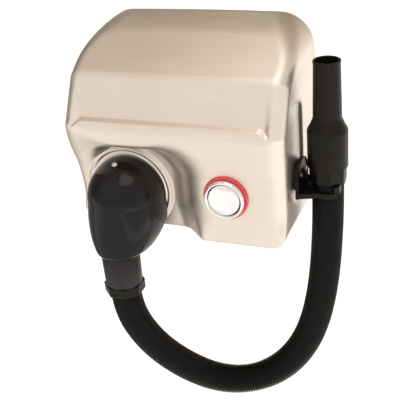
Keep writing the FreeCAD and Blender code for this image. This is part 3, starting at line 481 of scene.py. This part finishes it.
# ---- cover -------------------------------------------------------------------------------------

WIDTH, DEPTH = 278, 158
TOP, BOTTOM = 114.0, -126.0
WALL_GAP, SHEET = 0.6, 1.9
TOP_CORNER, BOTTOM_CORNER = 42, 17
ROOF, FOLD, SHOULDER = (14, 119), (125, 68), (158, 13)    # (depth, height) in the side view
ROOF_CROWN, TOP_DROP = 2.5, 1.0
DRAFT_LEFT, DRAFT_RIGHT = 2.0, 0.5      # how far each side draws in from the wall to the front
FRONT_START = -90                       # the sunk band and the button's dish lie in front of this
OUTLET, BUTTON = (-65, -76), (70, -63)
OUTLET_HOLE, BUTTON_HOLE = 41.4, 21.8
SEAT = 131
RECESS_DEPTH, RECESS_EDGE = 4.6, (5.0, 17.0)    # the recess's depth, and its edge's width
RECESS_CORNERS = [(-139, -76), (-135, -6), (-118, 47), (-64, 28), (-62, -98), (-92, -100)]
CREASE, CREASE_DROP = 19.5, 9.0         # the belly's upper edge, and how far its ends hang down
BAND_TOP, BAND_HALF_WIDTH, BAND_LEAN, LEDGE_SLOPE = 66, 127, 0.125, 2.2
DISH_RADIUS, DISH_DEPTH = 37, 2.4
PAD_RADIUS, PAD_DEPTH, GROOVE_RADIUS, GROOVE_DEPTH = 58, 4.5, 50.5, 1.1
SCOOP_RADIUS, SEAT_RADIUS = 34.0, 6.0
SLOTS, SLOT_START, SLOT_PITCH, SLOT_WIDTH, SLOT_SPAN = 6, 52, 11, 5, (-35, -105)


def edge_distance(y, z, start, end):
    """How far points lie outside the line between two (depth, height) points of the side view."""
    run, rise = end[0] - start[0], end[1] - start[1]
    return ((-y - start[0]) * -rise + (z - start[1]) * run) / math.hypot(run, rise)


def recess_inside(y, z):
    """How far points lie inside the slanting recess in the cover's right side."""
    outside = np.full(np.shape(y), -1000.0)
    for (ya, za), (yb, zb) in zip(RECESS_CORNERS, RECESS_CORNERS[1:] + RECESS_CORNERS[:1]):
        along = math.hypot(yb - ya, zb - za)
        away = ((y - ya) * -(zb - za) + (z - za) * (yb - ya)) / along
        outside = round_max(outside, away, 9.0)
    return -outside


def side_recess(x, y, z):
    """How deep the recess is; its edge is wider toward the front."""
    rear_edge, front_edge = RECESS_EDGE
    width = rear_edge + (front_edge - rear_edge) * smooth_step((-y - 70) / 50)
    return RECESS_DEPTH * smooth_step(recess_inside(y, z) / width) * (x > 90)


def sunk_band(side, z):
    """How far the front is sunk from the fold down to the crease that the belly starts at."""
    ledge = CREASE - CREASE_DROP * smooth_step((side - 110) / 18)
    fold_to_crease = np.clip((BAND_TOP - z) * BAND_LEAN, 0, None)
    crease_to_belly = soft_ramp(z - ledge, 0.6) * LEDGE_SLOPE
    band = -round_max(-fold_to_crease, -crease_to_belly, 2.2)
    return np.maximum(band, 0) * smooth_step((BAND_HALF_WIDTH - side) / 10)


def button_dish(x, z):
    """How deep the shallow dish round the button is."""
    share = 1 - np.clip(np.hypot(x - BUTTON[0], z - BUTTON[1]) / DISH_RADIUS, 0, 1) ** 2
    return DISH_DEPTH * share ** 2


def front_view(side, x, z):
    """Negative inside the cover's front view: round corners and a slightly arched top."""
    radius = np.where(z > 0, TOP_CORNER, BOTTOM_CORNER)
    height = np.where(z > 0, z - TOP + TOP_DROP * (x / 100) ** 2, BOTTOM - z)
    u, v = side - WIDTH / 2 + radius, height + radius
    return np.hypot(np.maximum(u, 0), np.maximum(v, 0)) + np.minimum(np.maximum(u, v), 0) - radius


def side_view(y, z):
    """Negative inside the cover's side view: a crowned roof, a slope and an upright belly."""
    share = np.clip((-y - ROOF[0]) / (FOLD[0] - ROOF[0]), 0, 1)
    roof = edge_distance(y, z, ROOF, FOLD) - ROOF_CROWN * 4 * share * (1 - share)
    slope = edge_distance(y, z, FOLD, SHOULDER)
    return round_max(round_max(roof, slope, 3.0), -y - DEPTH, 5.0)


def outlet_scoop(x, y, z):
    """Negative inside the scoop round the outlet, and the rounding of the scoop's rim.

    Its seat is flat, with a raised round pad and a groove in the pad round the outlet. Its right
    and top walls lean outward; the top one is steep above the outlet and gentle at the far left.
    """
    reach = np.hypot(x - OUTLET[0], z - OUTLET[1])
    pad = PAD_DEPTH * smooth_step((PAD_RADIUS - reach) / PAD_DEPTH)
    groove = GROOVE_DEPTH * smooth_step(1 - abs(reach - GROOVE_RADIUS) / 2.2)
    seat = y + SEAT + (pad - groove)
    rise, full_rise = -SEAT - y, DEPTH - SEAT
    foot = 2 + 6 * smooth_step((-z - 80) / 45)
    spread = (35 - foot) / full_rise
    right = (x - foot - rise * spread) / np.hypot(1, spread)
    left_share = smooth_step((-x - 66) / 68)
    right_share = smooth_step((x + 40) / 60)
    edge_height = -11 + 4 * right_share + 6 * left_share
    lean = 3 + 9 * right_share + 52 * left_share
    slant = lean / full_rise
    top = (z - edge_height + lean - rise * slant) / np.hypot(1, slant)
    scoop = round_max(seat, round_max(right, top, SCOOP_RADIUS), SEAT_RADIUS)
    sides = 0.25 + 0.75 * np.maximum(right_share, left_share)
    return scoop, 4 + 9 * smooth_step((z + 120) / 25) * sides


def cover_form(x, y, z):
    """Negative inside the cover, and about the distance to its surface near it."""
    x = x + side_recess(x, y, z)
    draft = np.where(x < 0, DRAFT_LEFT, DRAFT_RIGHT)
    side = np.abs(x) + draft * np.clip(-y / DEPTH, 0, 1)
    y = y - (sunk_band(side, z) + button_dish(x, z)) * (y < FRONT_START)
    edge = 4 + 15 * smooth_step((z + 120) / 35) - 6 * smooth_step((z - 60) / 30)
    hull = round_max(front_view(side, x, z), side_view(y, z), edge)
    scoop, rim = outlet_scoop(x, y, z)
    return round_max(hull, -scoop, rim)


def cover_outline(step):
    """Points round the cover's outline at the wall, evenly spaced."""
    half = WIDTH / 2
    corners = [(half, TOP, TOP_CORNER), (-half, TOP, TOP_CORNER),
               (-half, BOTTOM, BOTTOM_CORNER), (half, BOTTOM, BOTTOM_CORNER)]
    line = []
    for x, z, radius in corners:
        sx, sz = math.copysign(1, x), math.copysign(1, z)
        centre = np.array([x - sx * radius, z - sz * radius])
        start = math.atan2(0 if sx * sz > 0 else sz, sx if sx * sz > 0 else 0)
        for turn in np.linspace(start, start + math.pi / 2, 40):
            line.append(centre + radius * np.array([math.cos(turn), math.sin(turn)]))
    line = np.array(line + line[:1])
    length = np.r_[0, np.cumsum(np.hypot(*np.diff(line, axis=0).T))]
    count = int(length[-1] / step)
    places = np.linspace(0, length[-1], count, endpoint=False)
    return np.stack([np.interp(places, length, line[:, i]) for i in range(2)], 1)


COVER_HEART, COVER_REACH = (20.0, -60.0, -10.0), 260
AIM_DEPTH = 150      # rays from the heart aim at the sides up to this depth, then across it
FRONT_HALF = -0.1    # what lies in front of this, in metres, can be refined or opened


def refine(cover):
    """Finer faces along the crease and round the edge of the outlet's pad."""
    def fine(place):
        x, y, z = place / MM
        reach = math.hypot(x - OUTLET[0], z - OUTLET[1])
        return y < -100 and (abs(z - 18) < 8 or 46 < reach < 60)
    work = bmesh.new()
    work.from_mesh(cover.data)
    marked = {vertex for vertex in work.verts if fine(vertex.co)}
    edges = [edge for edge in work.edges if edge.verts[0] in marked and edge.verts[1] in marked]
    bmesh.ops.subdivide_edges(work, edges=edges, cuts=2, use_grid_fill=True)
    front = [vertex for vertex in work.verts if vertex.co.y < FRONT_HALF]
    places = np.array([vertex.co[:] for vertex in front]) / MM
    for vertex, place in zip(front, hit(cover_form, COVER_HEART, places, COVER_REACH)):
        vertex.co = place * MM
    bmesh.ops.triangulate(work, faces=[face for face in work.faces if len(face.verts) > 4])
    work.to_mesh(cover.data)
    work.free()
    cover.data.shade_smooth()


def level_row(outline, depth):
    """An outline's points at one depth in front of the wall."""
    return np.stack([outline[:, 0], np.full(len(outline), -float(depth)), outline[:, 1]], 1)


def make_cover():
    """The steel cover: its surface by rays from inside it, then its holes, wall and slots."""
    step = 2.1
    outline = cover_outline(step)
    middle = np.array([COVER_HEART[0], COVER_HEART[2]])
    side_depths = np.linspace(WALL_GAP, AIM_DEPTH, int(AIM_DEPTH / step))
    shares = np.linspace(1, 0, int(WIDTH / 2 / step))[1:-1]
    rows = [level_row(outline, depth) for depth in side_depths]
    rows += [level_row(middle + (outline - middle) * share, AIM_DEPTH) for share in shares]
    surface = hit(cover_form, COVER_HEART, np.array(rows), COVER_REACH)
    surface[0, :, 1] = -WALL_GAP
    pole = hit(cover_form, COVER_HEART, level_row(middle[None], AIM_DEPTH), COVER_REACH)
    points = np.concatenate([surface.reshape(-1, 3), pole])
    columns = len(outline)
    faces = grid_faces(len(rows), columns) + cap_faces(len(rows), columns, len(points) - 1)
    cover = piece("cover", points, faces, ["cover_shell"])
    refine(cover)
    open_holes(cover)
    thicken(cover, SHEET)
    cut_slots(cover)
    map_brushing(cover)


def open_holes(cover):
    """The outlet's hole in the seat and the button's in the belly."""
    work = bmesh.new()
    work.from_mesh(cover.data)
    for (x, z), radius in ((OUTLET, OUTLET_HOLE), (BUTTON, BUTTON_HOLE)):
        def away(place):
            return math.hypot(place.x / MM - x, place.z / MM - z)
        centres = [(face, face.calc_center_median()) for face in work.faces]
        inside = [face for face, centre in centres
                  if centre.y < FRONT_HALF and away(centre) < radius]
        bmesh.ops.delete(work, geom=inside, context="FACES")
        for vertex in work.verts:
            reach = away(vertex.co)
            if vertex.is_boundary and vertex.co.y < FRONT_HALF and abs(reach - radius) < 6:
                vertex.co.x = (x + (vertex.co.x / MM - x) * radius / reach) * MM
                vertex.co.z = (z + (vertex.co.z / MM - z) * radius / reach) * MM
    work.to_mesh(cover.data)
    work.free()


def cut_slots(cover):
    """Six air slots in the cover's bottom."""
    points, faces = [], []
    rear, front = SLOT_SPAN
    for number in range(SLOTS):
        low = SLOT_START + SLOT_PITCH * number
        high, rounding = low + SLOT_WIDTH, SLOT_WIDTH / 2
        outline = rounded([(low, rear, rounding), (high, rear, rounding),
                           (high, front, rounding), (low, front, rounding)],
                          closed=True, steps=4)
        slot = drawn_out(outline, BOTTOM - 6, BOTTOM + 6, start=len(points))
        points += slot[0]
        faces += slot[1]
    combine(cover, [solid("slot_cutter", points, faces)], "DIFFERENCE")


def map_brushing(cover):
    """A UV map whose U runs level round the cover, the way that the steel was brushed."""
    mesh = cover.data
    places = np.empty(len(mesh.vertices) * 3)
    mesh.vertices.foreach_get("co", places)
    x, y, z = places.reshape(-1, 3).T
    u = x + 0.3 * y * np.sign(x) * smooth_step((np.abs(x) - 0.1) / 0.03)
    v = z - 0.1 * y
    corners = np.empty(len(mesh.loops), dtype=int)
    mesh.loops.foreach_get("vertex_index", corners)
    layer = mesh.uv_layers.new(name="brushing")
    layer.data.foreach_set("uv", np.stack([u[corners], v[corners]], 1).ravel())


# ---- hood --------------------------------------------------------------------------------------

HOOD_REAR, HOOD_RADIUS, HOOD_RISE, HOOD_REACH = 136.2, 48.7, 45.0, 64.0
HOOD_BOTTOM, FOOT_HALF_WIDTH, FOOT_REACH = -142.0, 31.7, 71.8
HOOD_CORNER_DEPTH, HOOD_CORNER_HEIGHT = 31.0, 29.0
DOME_POWER, FOOT_POWER, FOOT_ROUND, HOOD_TAPER = 2.07, 2.66, 7.6, 3.6
HOOD_WALL, HOOD_HEART_HEIGHT, HOOD_RAYS = 2.6, -90.0, 200
SPIGOT, SPIGOT_RADIUS, SPIGOT_WALL = (-67, -178), 23.3, 5.3


def hood_form(x, y, z):
    """Negative inside the hood: a dome above the outlet's middle, narrowing to a foot below."""
    dx, forward, up = x - OUTLET[0], -y - HOOD_REAR, z - OUTLET[1]
    low = np.clip(-up / (OUTLET[1] - HOOD_BOTTOM), 0, 1)
    half_width = HOOD_RADIUS + (FOOT_HALF_WIDTH - HOOD_RADIUS) * low ** HOOD_TAPER
    reach = HOOD_REACH + (FOOT_REACH - HOOD_REACH) * low
    across = np.hypot(dx / half_width, np.maximum(up, 0) / HOOD_RISE)
    power = DOME_POWER + (FOOT_POWER - DOME_POWER) * low
    body = (across ** power + np.maximum(forward, 0) ** power / reach ** power) ** (1 / power)
    body = (body - 1) * HOOD_RADIUS
    above = z - HOOD_BOTTOM - HOOD_CORNER_HEIGHT
    corner = -(forward * HOOD_CORNER_HEIGHT + above * HOOD_CORNER_DEPTH)
    corner = corner / math.hypot(HOOD_CORNER_HEIGHT, HOOD_CORNER_DEPTH)
    return round_max(round_max(body, HOOD_BOTTOM - z, FOOT_ROUND), corner, 3.0)


def hood_grid(columns, rows):
    """The hood's surface by rays from a point in the plane of its rim."""
    turns = np.linspace(0, 2 * math.pi, columns, endpoint=False)
    lifts = np.linspace(0, math.pi / 2, rows)[:-1]
    way = np.stack([np.stack([np.cos(t) * np.cos(lifts), -np.sin(lifts),
                              np.sin(t) * np.cos(lifts)], 1) for t in turns], 1)
    origin = np.array([OUTLET[0], -HOOD_REAR, HOOD_HEART_HEIGHT])
    surface = hit(hood_form, origin, origin + way, HOOD_RAYS)
    pole = hit(hood_form, origin, origin + np.array([[0, -1.0, 0]]), HOOD_RAYS)
    points = np.concatenate([surface.reshape(-1, 3), pole])
    faces = grid_faces(len(lifts), columns) + cap_faces(len(lifts), columns, len(points) - 1)
    return points, faces


SEAM_CORNER, SEAM_FOOT, SEAM_REAR, SEAM = (-167.5, -95), (-186.6, -135), (-139.4, -117), 0.12


def keep_part(thing, rear):
    """Cuts a hood mesh at the seam and keeps its rear shell or the rest."""
    corner = Vector((0, *SEAM_CORNER))
    planes = []
    for end, side in ((SEAM_FOOT, 1), (SEAM_REAR, -1)):
        along = Vector((0, *end)) - corner
        outward = Vector((0, along.z, -along.y)).normalized() * side
        place = corner + outward * (-SEAM if rear else SEAM)
        planes.append((place * MM, outward))
    work = bmesh.new()
    work.from_mesh(thing.data)
    for place, normal in planes:
        geometry = work.verts[:] + work.edges[:] + work.faces[:]
        bmesh.ops.bisect_plane(work, geom=geometry, plane_co=place, plane_no=normal, dist=1e-7)
    unwanted = []
    for face in work.faces:
        centre = face.calc_center_median()
        behind = all((centre - place).dot(normal) < 0 for place, normal in planes)
        if behind != rear:
            unwanted.append(face)
    bmesh.ops.delete(work, geom=unwanted, context="FACES")
    work.to_mesh(thing.data)
    work.free()
    thing.data.shade_smooth()


def make_hood():
    """The hood's front and rear shells, which meet at a fine seam, and the spigot below them."""
    columns, rows = ((220, 110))
    points, faces = hood_grid(columns, rows)
    front = piece("hood_front", points, faces, ["hood_front_shell"])
    rear = piece("hood_rear", points, faces, ["hood_rear_shell"])
    for shell, is_rear in ((front, False), (rear, True)):
        keep_part(shell, is_rear)
        thicken(shell, HOOD_WALL)
    bore = SPIGOT_RADIUS - SPIGOT_WALL
    outline = [(bore, -190, 0), (SPIGOT_RADIUS, -190, 0.6), (SPIGOT_RADIUS, -185, 0),
               (SPIGOT_RADIUS + 0.6, -141, 0), (bore, -138, 0)]
    piece("spigot", *lathe(outline, (*SPIGOT, 0)), ["hood_spigot"])


def make_hood_screw():
    """A small pan-head screw with a crossed slot, on the slope of the hood's dome."""
    tilt, lift = math.radians(15), 22.6
    up = np.array([0, -math.sin(tilt), math.cos(tilt)])
    base = np.array([OUTLET[0], -160.0, OUTLET[1] + 25.0]) + up * lift
    outline = [(1.6, -14, 0), (1.6, -1, 0), (3.6, 0, 0.5), (3.6, 1.0, 1.0), (2.2, 2.1, 1.0),
               (1.5, 2.2, 0), (1.2, 1.3, 0), (0.02, 1.1, 0)]
    crossed_screw("hood_screw_head", outline, base, up, np.array([1.0, 0, 0]), 0.55,
                  ["hood_screw"])


# ---- hose --------------------------------------------------------------------------------------

HOSE_ROUTE = [
    (-0.067, -0.178, -0.190), (-0.067, -0.178, -0.216), (-0.059, -0.1745, -0.252),
    (-0.039, -0.166, -0.290), (-0.012, -0.154, -0.322), (0.020, -0.1405, -0.347),
    (0.049, -0.128, -0.3585), (0.078, -0.115, -0.3595), (0.105, -0.1035, -0.349),
    (0.127, -0.094, -0.329), (0.143, -0.087, -0.303), (0.154, -0.0825, -0.272),
    (0.1615, -0.0795, -0.236), (0.1665, -0.077, -0.196), (0.1695, -0.076, -0.150),
    (0.171, -0.075, -0.104), (0.171, -0.075, -0.062),
]
HOSE_RADIUS, RIB_PITCH, RIB_DEPTH = 19.4, 2.9, 1.7


def hose_line():
    """Points along the smooth curve that the route's points steer, in metres."""
    data = bpy.data.curves.new("hose_line", "CURVE")
    data.dimensions, data.resolution_u = "3D", 48
    spline = data.splines.new("NURBS")
    spline.points.add(len(HOSE_ROUTE) - 1)
    for point, place in zip(spline.points, HOSE_ROUTE):
        point.co = (*place, 1)
    spline.order_u = 3
    spline.use_endpoint_u = True
    holder = bpy.data.objects.new("hose_line", data)
    bpy.context.scene.collection.objects.link(holder)
    line = bpy.data.meshes.new_from_object(holder)
    points = np.array([vertex.co[:] for vertex in line.vertices])
    bpy.data.objects.remove(holder)
    return points


def make_hose():
    """A ribbed tube along the hose's line, which ends at the hand nozzle."""
    path = hose_line()
    along = np.r_[0, np.cumsum(np.linalg.norm(np.diff(path, axis=0), axis=1))]
    length = along[-1]
    per_rib, around = 6, 48
    count = int(length / (RIB_PITCH * MM)) * per_rib
    places = np.linspace(0, length, count + 1)
    centres = np.stack([np.interp(places, along, path[:, i]) for i in range(3)], 1)
    ways = np.gradient(centres, axis=0)
    ways /= np.linalg.norm(ways, axis=1, keepdims=True)
    turns = np.linspace(0, 2 * math.pi, around, endpoint=False)
    side = np.array([1.0, 0, 0])
    points = []
    for index, (centre, way) in enumerate(zip(centres, ways)):
        side = side - way * side.dot(way)
        side /= np.linalg.norm(side)
        other = np.cross(way, side)
        rise = abs(math.sin(math.pi * index / per_rib)) ** 1.2
        radius = HOSE_RADIUS - RIB_DEPTH * (1 - rise)
        ring = np.outer(np.cos(turns), side) + np.outer(np.sin(turns), other)
        points.extend(centre / MM + ring * radius)
    faces = grid_faces(len(centres), around)
    faces.append(tuple(range(around)))
    faces.append(tuple(len(points) - 1 - i for i in range(around)))
    hose = piece("ribbed_hose", points, faces, ["air_hose"], body=None)
    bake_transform(hose)


# ---- nuts and hand nozzle ----------------------------------------------------------------------

def make_nut(name, node, centre, flats, bore, levels, body="root"):
    """A nut with eight flats outside and in the bore, from levels of (height, share of flats).

    The flats and the bore are distances from the middle to a flat.
    """
    sides = 8
    reach = 1 / math.cos(math.pi / sides)
    turns = [math.pi / sides * (1 + 2 * side) for side in range(sides)]

    def ring(flat, height):
        return [(centre[0] + flat * reach * math.cos(turn),
                 centre[1] + flat * reach * math.sin(turn), height) for turn in turns]

    points = []
    for height, share in levels:
        points += ring(flats * share, height)
    faces = grid_faces(len(levels), sides)
    outer = len(points)
    for height in (levels[-1][0], levels[0][0]):
        points += ring(bore, height)
    faces += grid_faces(2, sides, start=outer)
    top, bottom = outer - sides, 0
    for i in range(sides):
        j = (i + 1) % sides
        faces.append((top + i, top + j, outer + j, outer + i))
        faces.append((bottom + i, bottom + j, outer + sides + j, outer + sides + i))
    nut = piece(name, points, faces, [node], body=body)
    soften(nut, 0.9, angle=20)


NOZZLE = (171, -75)


def make_nozzle():
    """A hollow stepped tube: a wide grip with fine rings, a cone and a long slim mouth."""
    outline = [(21.7, -50, 0.4), (24.1, -50, 0.5), (24.1, -48.6, 0.3), (23.8, -48.2, 0.3),
               (24.1, -47.6, 0.3), (24.1, -4.5, 1.2), (22.9, -1.5, 0.4), (22.6, -1.2, 0.3),
               (21.9, 0.2, 0.3), (21.3, 1.0, 0.3), (18.6, 7.2, 0.4), (17.3, 9.8, 1.2),
               (17.0, 13.0, 1.0), (15.75, 75.5, 0.4), (15.75, 76.2, 0.3), (16.1, 76.8, 0.3),
               (16.1, 79.4, 0.5), (15.6, 80.0, 0.4), (14.4, 80.0, 0.4), (13.8, 79.2, 0.4),
               (13.8, 50, 0.4), (14.6, 10, 1.0), (21.7, -4, 1.0)]
    piece("nozzle_body", *lathe(outline, (*NOZZLE, 0), segments=144), ["hand_nozzle"],
          body="nozzle")


# ---- holder ------------------------------------------------------------------------------------

PLATE_FACE, PLATE_THICK, SHELF_BOTTOM, SHELF_TOP = 139.2, 2.6, -83.2, -77.0
PLATE_MIDDLE, PLATE_RADIUS, RIM_WIDTH = (-84, -63), 24, 1.8    # (depth, height) of the arch
SLOT_RADIUS, SHELF_RADIUS, LIP_TOP = 20.0, 26.0, -68.9
HOLDER_SCREWS_Y = (-88, -68)


def standing_lip(x_low, x_high, y_half):
    """Part of a ring on the shelf: what lies between two offsets from the nozzle's axis."""
    ring = round_block(NOZZLE, SHELF_RADIUS, SHELF_TOP - 1, LIP_TOP)
    combine(ring, [round_block(NOZZLE, SLOT_RADIUS + 0.2, SHELF_TOP - 2, LIP_TOP + 1)],
            "DIFFERENCE")
    x, y = NOZZLE
    keep = block(box_outline(x + x_low, x + x_high, y - y_half, y + y_half), -90, -40)
    return combine(ring, [keep], "INTERSECT")


def holder_plate():
    """The arched plate, its raised rim, and the boss that reaches into the cover's recess."""
    y, z = PLATE_MIDDLE
    front = PLATE_FACE + PLATE_THICK
    arch = arc(PLATE_MIDDLE, PLATE_RADIUS, 0, 180)
    outer = arch + [(y - PLATE_RADIUS, SHELF_BOTTOM), (y + PLATE_RADIUS, SHELF_BOTTOM)]
    inner = arc(PLATE_MIDDLE, PLATE_RADIUS - RIM_WIDTH, 0, 180)
    inner += [(y - PLATE_RADIUS + RIM_WIDTH, SHELF_BOTTOM - 5),
              (y + PLATE_RADIUS - RIM_WIDTH, SHELF_BOTTOM - 5)]
    plate = block(outer, PLATE_FACE, front, "x")
    rim = block(outer, front - 1, front + 1.3, "x")
    combine(rim, [block(inner, front - 2, front + 3, "x")], "DIFFERENCE")
    boss = round_block((y + 2, z), PLATE_RADIUS - 5, 133.2, PLATE_FACE + 1, "x")
    return combine(plate, [rim, boss], "UNION")


def holder_shelf():
    """The level shelf: a ring with an open mouth, which widens into the plate."""
    x, y = NOZZLE
    root, edge = PLATE_FACE + 1, PLATE_RADIUS - 0.4
    near, far = PLATE_MIDDLE[0] - edge, PLATE_MIDDLE[0] + edge
    shelf = block([(root, near), (x - 6, y - SHELF_RADIUS + 1), (x, y - 22), (x, y + 22),
                   (x - 6, y + SHELF_RADIUS - 1), (root, far)], SHELF_BOTTOM, SHELF_TOP)
    combine(shelf, [round_block(NOZZLE, SHELF_RADIUS, SHELF_BOTTOM, SHELF_TOP, steps=90)], "UNION")
    slot = round_block(NOZZLE, SLOT_RADIUS, SHELF_BOTTOM - 5, SHELF_TOP + 5, steps=90)
    mouth = block(box_outline(x, x + 60, y - SLOT_RADIUS, y + SLOT_RADIUS), SHELF_BOTTOM - 6,
                  SHELF_TOP + 6)
    return combine(shelf, [slot, mouth], "DIFFERENCE")


def make_holder():
    """An arched plate on the cover's side with a forked shelf that the nozzle's nut stands in."""
    front = PLATE_FACE + PLATE_THICK
    rib = block([(front - 1, SHELF_TOP - 1), (150, SHELF_TOP - 1), (150, -69), (front - 1, -50)],
                -80, -76.5, "y")
    tips, root = standing_lip(13, 18, 40), standing_lip(-40, -14, 13)
    holder = combine(holder_plate(), [holder_shelf(), tips, root, rib], "UNION")
    finish(holder, 1e-5)
    soften(holder, 0.5, 2)
    holder.name = "hose_fork"
    holder.data.materials.clear()
    holder.data.materials.append(FINISHES[slot_of["hose_holder"]])
    holder.data.polygons.foreach_set("material_index", [0] * len(holder.data.polygons))
    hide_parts("hose_holder")
    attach(holder, "root")


def make_holder_screws():
    """Two round-headed screws with crossed slots in the holder's plate."""
    outline = [(2.3, -14, 0), (2.3, 0, 0), (3.3, 0, 0.3), (3.3, 0.5, 0.5), (2.0, 1.5, 0.8),
               (1.3, 1.5, 0), (1.0, 0.6, 0), (0.02, 0.5, 0)]
    outward, along = np.array([1.0, 0, 0]), np.array([0, 1.0, 0])
    for number, y in enumerate(HOLDER_SCREWS_Y):
        base = np.array([PLATE_FACE + PLATE_THICK, y, PLATE_MIDDLE[1] + 3])
        crossed_screw(f"holder_screw_{number + 1}", outline, base, outward, along, 0.5,
                      ["holder_screws"])


# ---- button ------------------------------------------------------------------------------------

def make_button():
    """A domed metal cap in a bright bezel, with a clear red ring round it."""
    at = (BUTTON[0], 0, BUTTON[1])
    cap = [(3.6, 154.5, 0), (19.3, 154.5, 0), (19.3, 165.2, 1.0), (18.2, 167.0, 2.0),
           (11.0, 168.8, 6.0), (0.8, 169.48, 0), (0.2, 169.5, 0), (0.02, 169.5, 0),
           (0.02, 159.5, 0), (3.6, 159.5, 0)]
    piece("button_dome", *lathe(cap, at, "y"), ["button_cap"], body="button")
    bezel = [(19.8, 138.4, 0), (21.4, 138.4, 0), (21.4, 159.8, 0), (24.3, 159.8, 0.3),
             (24.3, 165.4, 2.0), (22.4, 167.9, 1.8), (21.2, 167.6, 1.0), (19.8, 163.8, 0.6)]
    piece("chrome_bezel", *lathe(bezel, at, "y"), ["button_bezel"])
    ring = [(21.5, 156.6, 0), (27.6, 156.6, 0.4), (27.6, 158.8, 1.2), (26.2, 160.2, 1.2),
            (24.5, 160.4, 0.3), (24.5, 159.7, 0), (21.5, 159.7, 0)]
    piece("red_ring", *lathe(ring, at, "y"), ["button_ring"])


# ---- room --------------------------------------------------------------------------------------

def make_room():
    """A pale floor far below the hose, which glows to light the object, with painted shade and a
    painted bright strip; a pale sky and a soft lamp.
    """
    mesh = bpy.data.meshes.new("floor")
    half, height = 30, -1.1
    corners = [(x, y, height) for x, y in box_outline(-half, half, -half, half)]
    mesh.from_pydata(corners, [], [(0, 1, 2, 3)])
    floor = bpy.data.objects.new("floor", mesh)
    bpy.context.scene.collection.objects.link(floor)
    mesh.materials.append(floor_finish())
    world = bpy.data.worlds.new("sky")
    light_sky(world)
    bpy.context.scene.world = world
    bpy.context.scene.view_settings.view_transform = "Standard"
    lamp("softbox", (0.22, -0.11, 1.17), (-0.05, -0.18, -0.05), 0.80, 0.75, 3.0)


def floor_finish():
    """White and glowing to light the object: painted shade dims it to the left of the object and
    behind it, and a painted bright strip glows at the right.
    """
    nodes = Nodes(bpy.data.materials.new("glowing_floor"))
    parts = nodes.node("SeparateXYZ", Vector=nodes.place())
    leftward = nodes.along(nodes.place(), (-0.805, -0.593, 0))
    # painted shade: the floor's glow and colour dim to the left of the object and behind it
    dim = nodes.node("Math")
    dim.operation = "MULTIPLY"
    nodes.feed(dim.inputs[0], nodes.range(leftward, 0, 1, 0.40, 0.95))
    nodes.feed(dim.inputs[1], nodes.range(parts.outputs["Y"], 0, 1, -1.0, -0.35))
    light = nodes.ramp(dim.outputs["Value"], (0, (1, 1, 1)), (1, (0.22, 0.21, 0.20)))
    # painted light: a strip at the right glows brighter, to put highlights on the object's right
    # edges
    across = nodes.range(parts.outputs["X"], 0, 1, 1.4, 3.2)
    strength = nodes.ramp(across, (0, (0.55, 0.55, 0.55)), (0.35, (1.5, 1.5, 1.5)),
                          (0.8, (0.55, 0.55, 0.55)))
    nodes.set(Base_Color=nodes.ramp(dim.outputs["Value"], (0, (0.9, 0.9, 0.9)),
                                    (1, (0.4, 0.39, 0.38))),
              Roughness=0.9, Emission_Color=light, Emission_Strength=strength)
    return nodes.owner


def light_sky(world):
    """A pale sky, dim and warm behind the wall overhead, and dimmer far to the left."""
    nodes = Nodes(world)
    view = nodes.node("TexCoord").outputs["Generated"]
    behind, left = Vector((0, 0.77, 0.64)).normalized(), Vector((-0.94, 0.34, 0.1)).normalized()
    overhead = nodes.ramp(nodes.along(view, behind),
                          (0.10, (0.96, 0.90, 0.83)), (0.62, (0.86, 0.76, 0.63)),
                          (0.86, (0.66, 0.56, 0.43)), (0.94, (0.35, 0.29, 0.21)),
                          (1.0, (0.21, 0.17, 0.12)))
    leftward = nodes.ramp(nodes.along(view, left), (0.50, (1, 1, 1)), (0.9, (0.25, 0.25, 0.25)))
    background = nodes.tree.nodes["Background"]
    nodes.feed(background.inputs["Color"], nodes.multiply(overhead, leftward))


def lamp(name, place, aim, width, height, power):
    """A soft rectangular lamp that looks at a point."""
    data = bpy.data.lights.new(name, "AREA")
    data.shape, data.size, data.size_y, data.energy = "RECTANGLE", width, height, power
    thing = bpy.data.objects.new(name, data)
    bpy.context.scene.collection.objects.link(thing)
    thing.location = place
    thing.rotation_euler = (Vector(aim) - Vector(place)).to_track_quat("-Z", "Y").to_euler()


make_hose()
make_cover()
make_hood()
make_hood_screw()
make_nut("lower_nut", "lower_hose_nut", SPIGOT, 23.7, 19.4,
         [(-198, 0.97), (-196.5, 1.0), (-186.5, 1.0), (-184.6, 1.03)])
make_nut("upper_nut", "upper_hose_nut", NOZZLE, 20.9, 19.4,
         [(-68.5, 0.98), (-67.2, 1.0), (-51.5, 1.0), (-50.2, 0.99)], body="nozzle")
make_nozzle()
make_holder()
make_holder_screws()
make_button()
make_room()
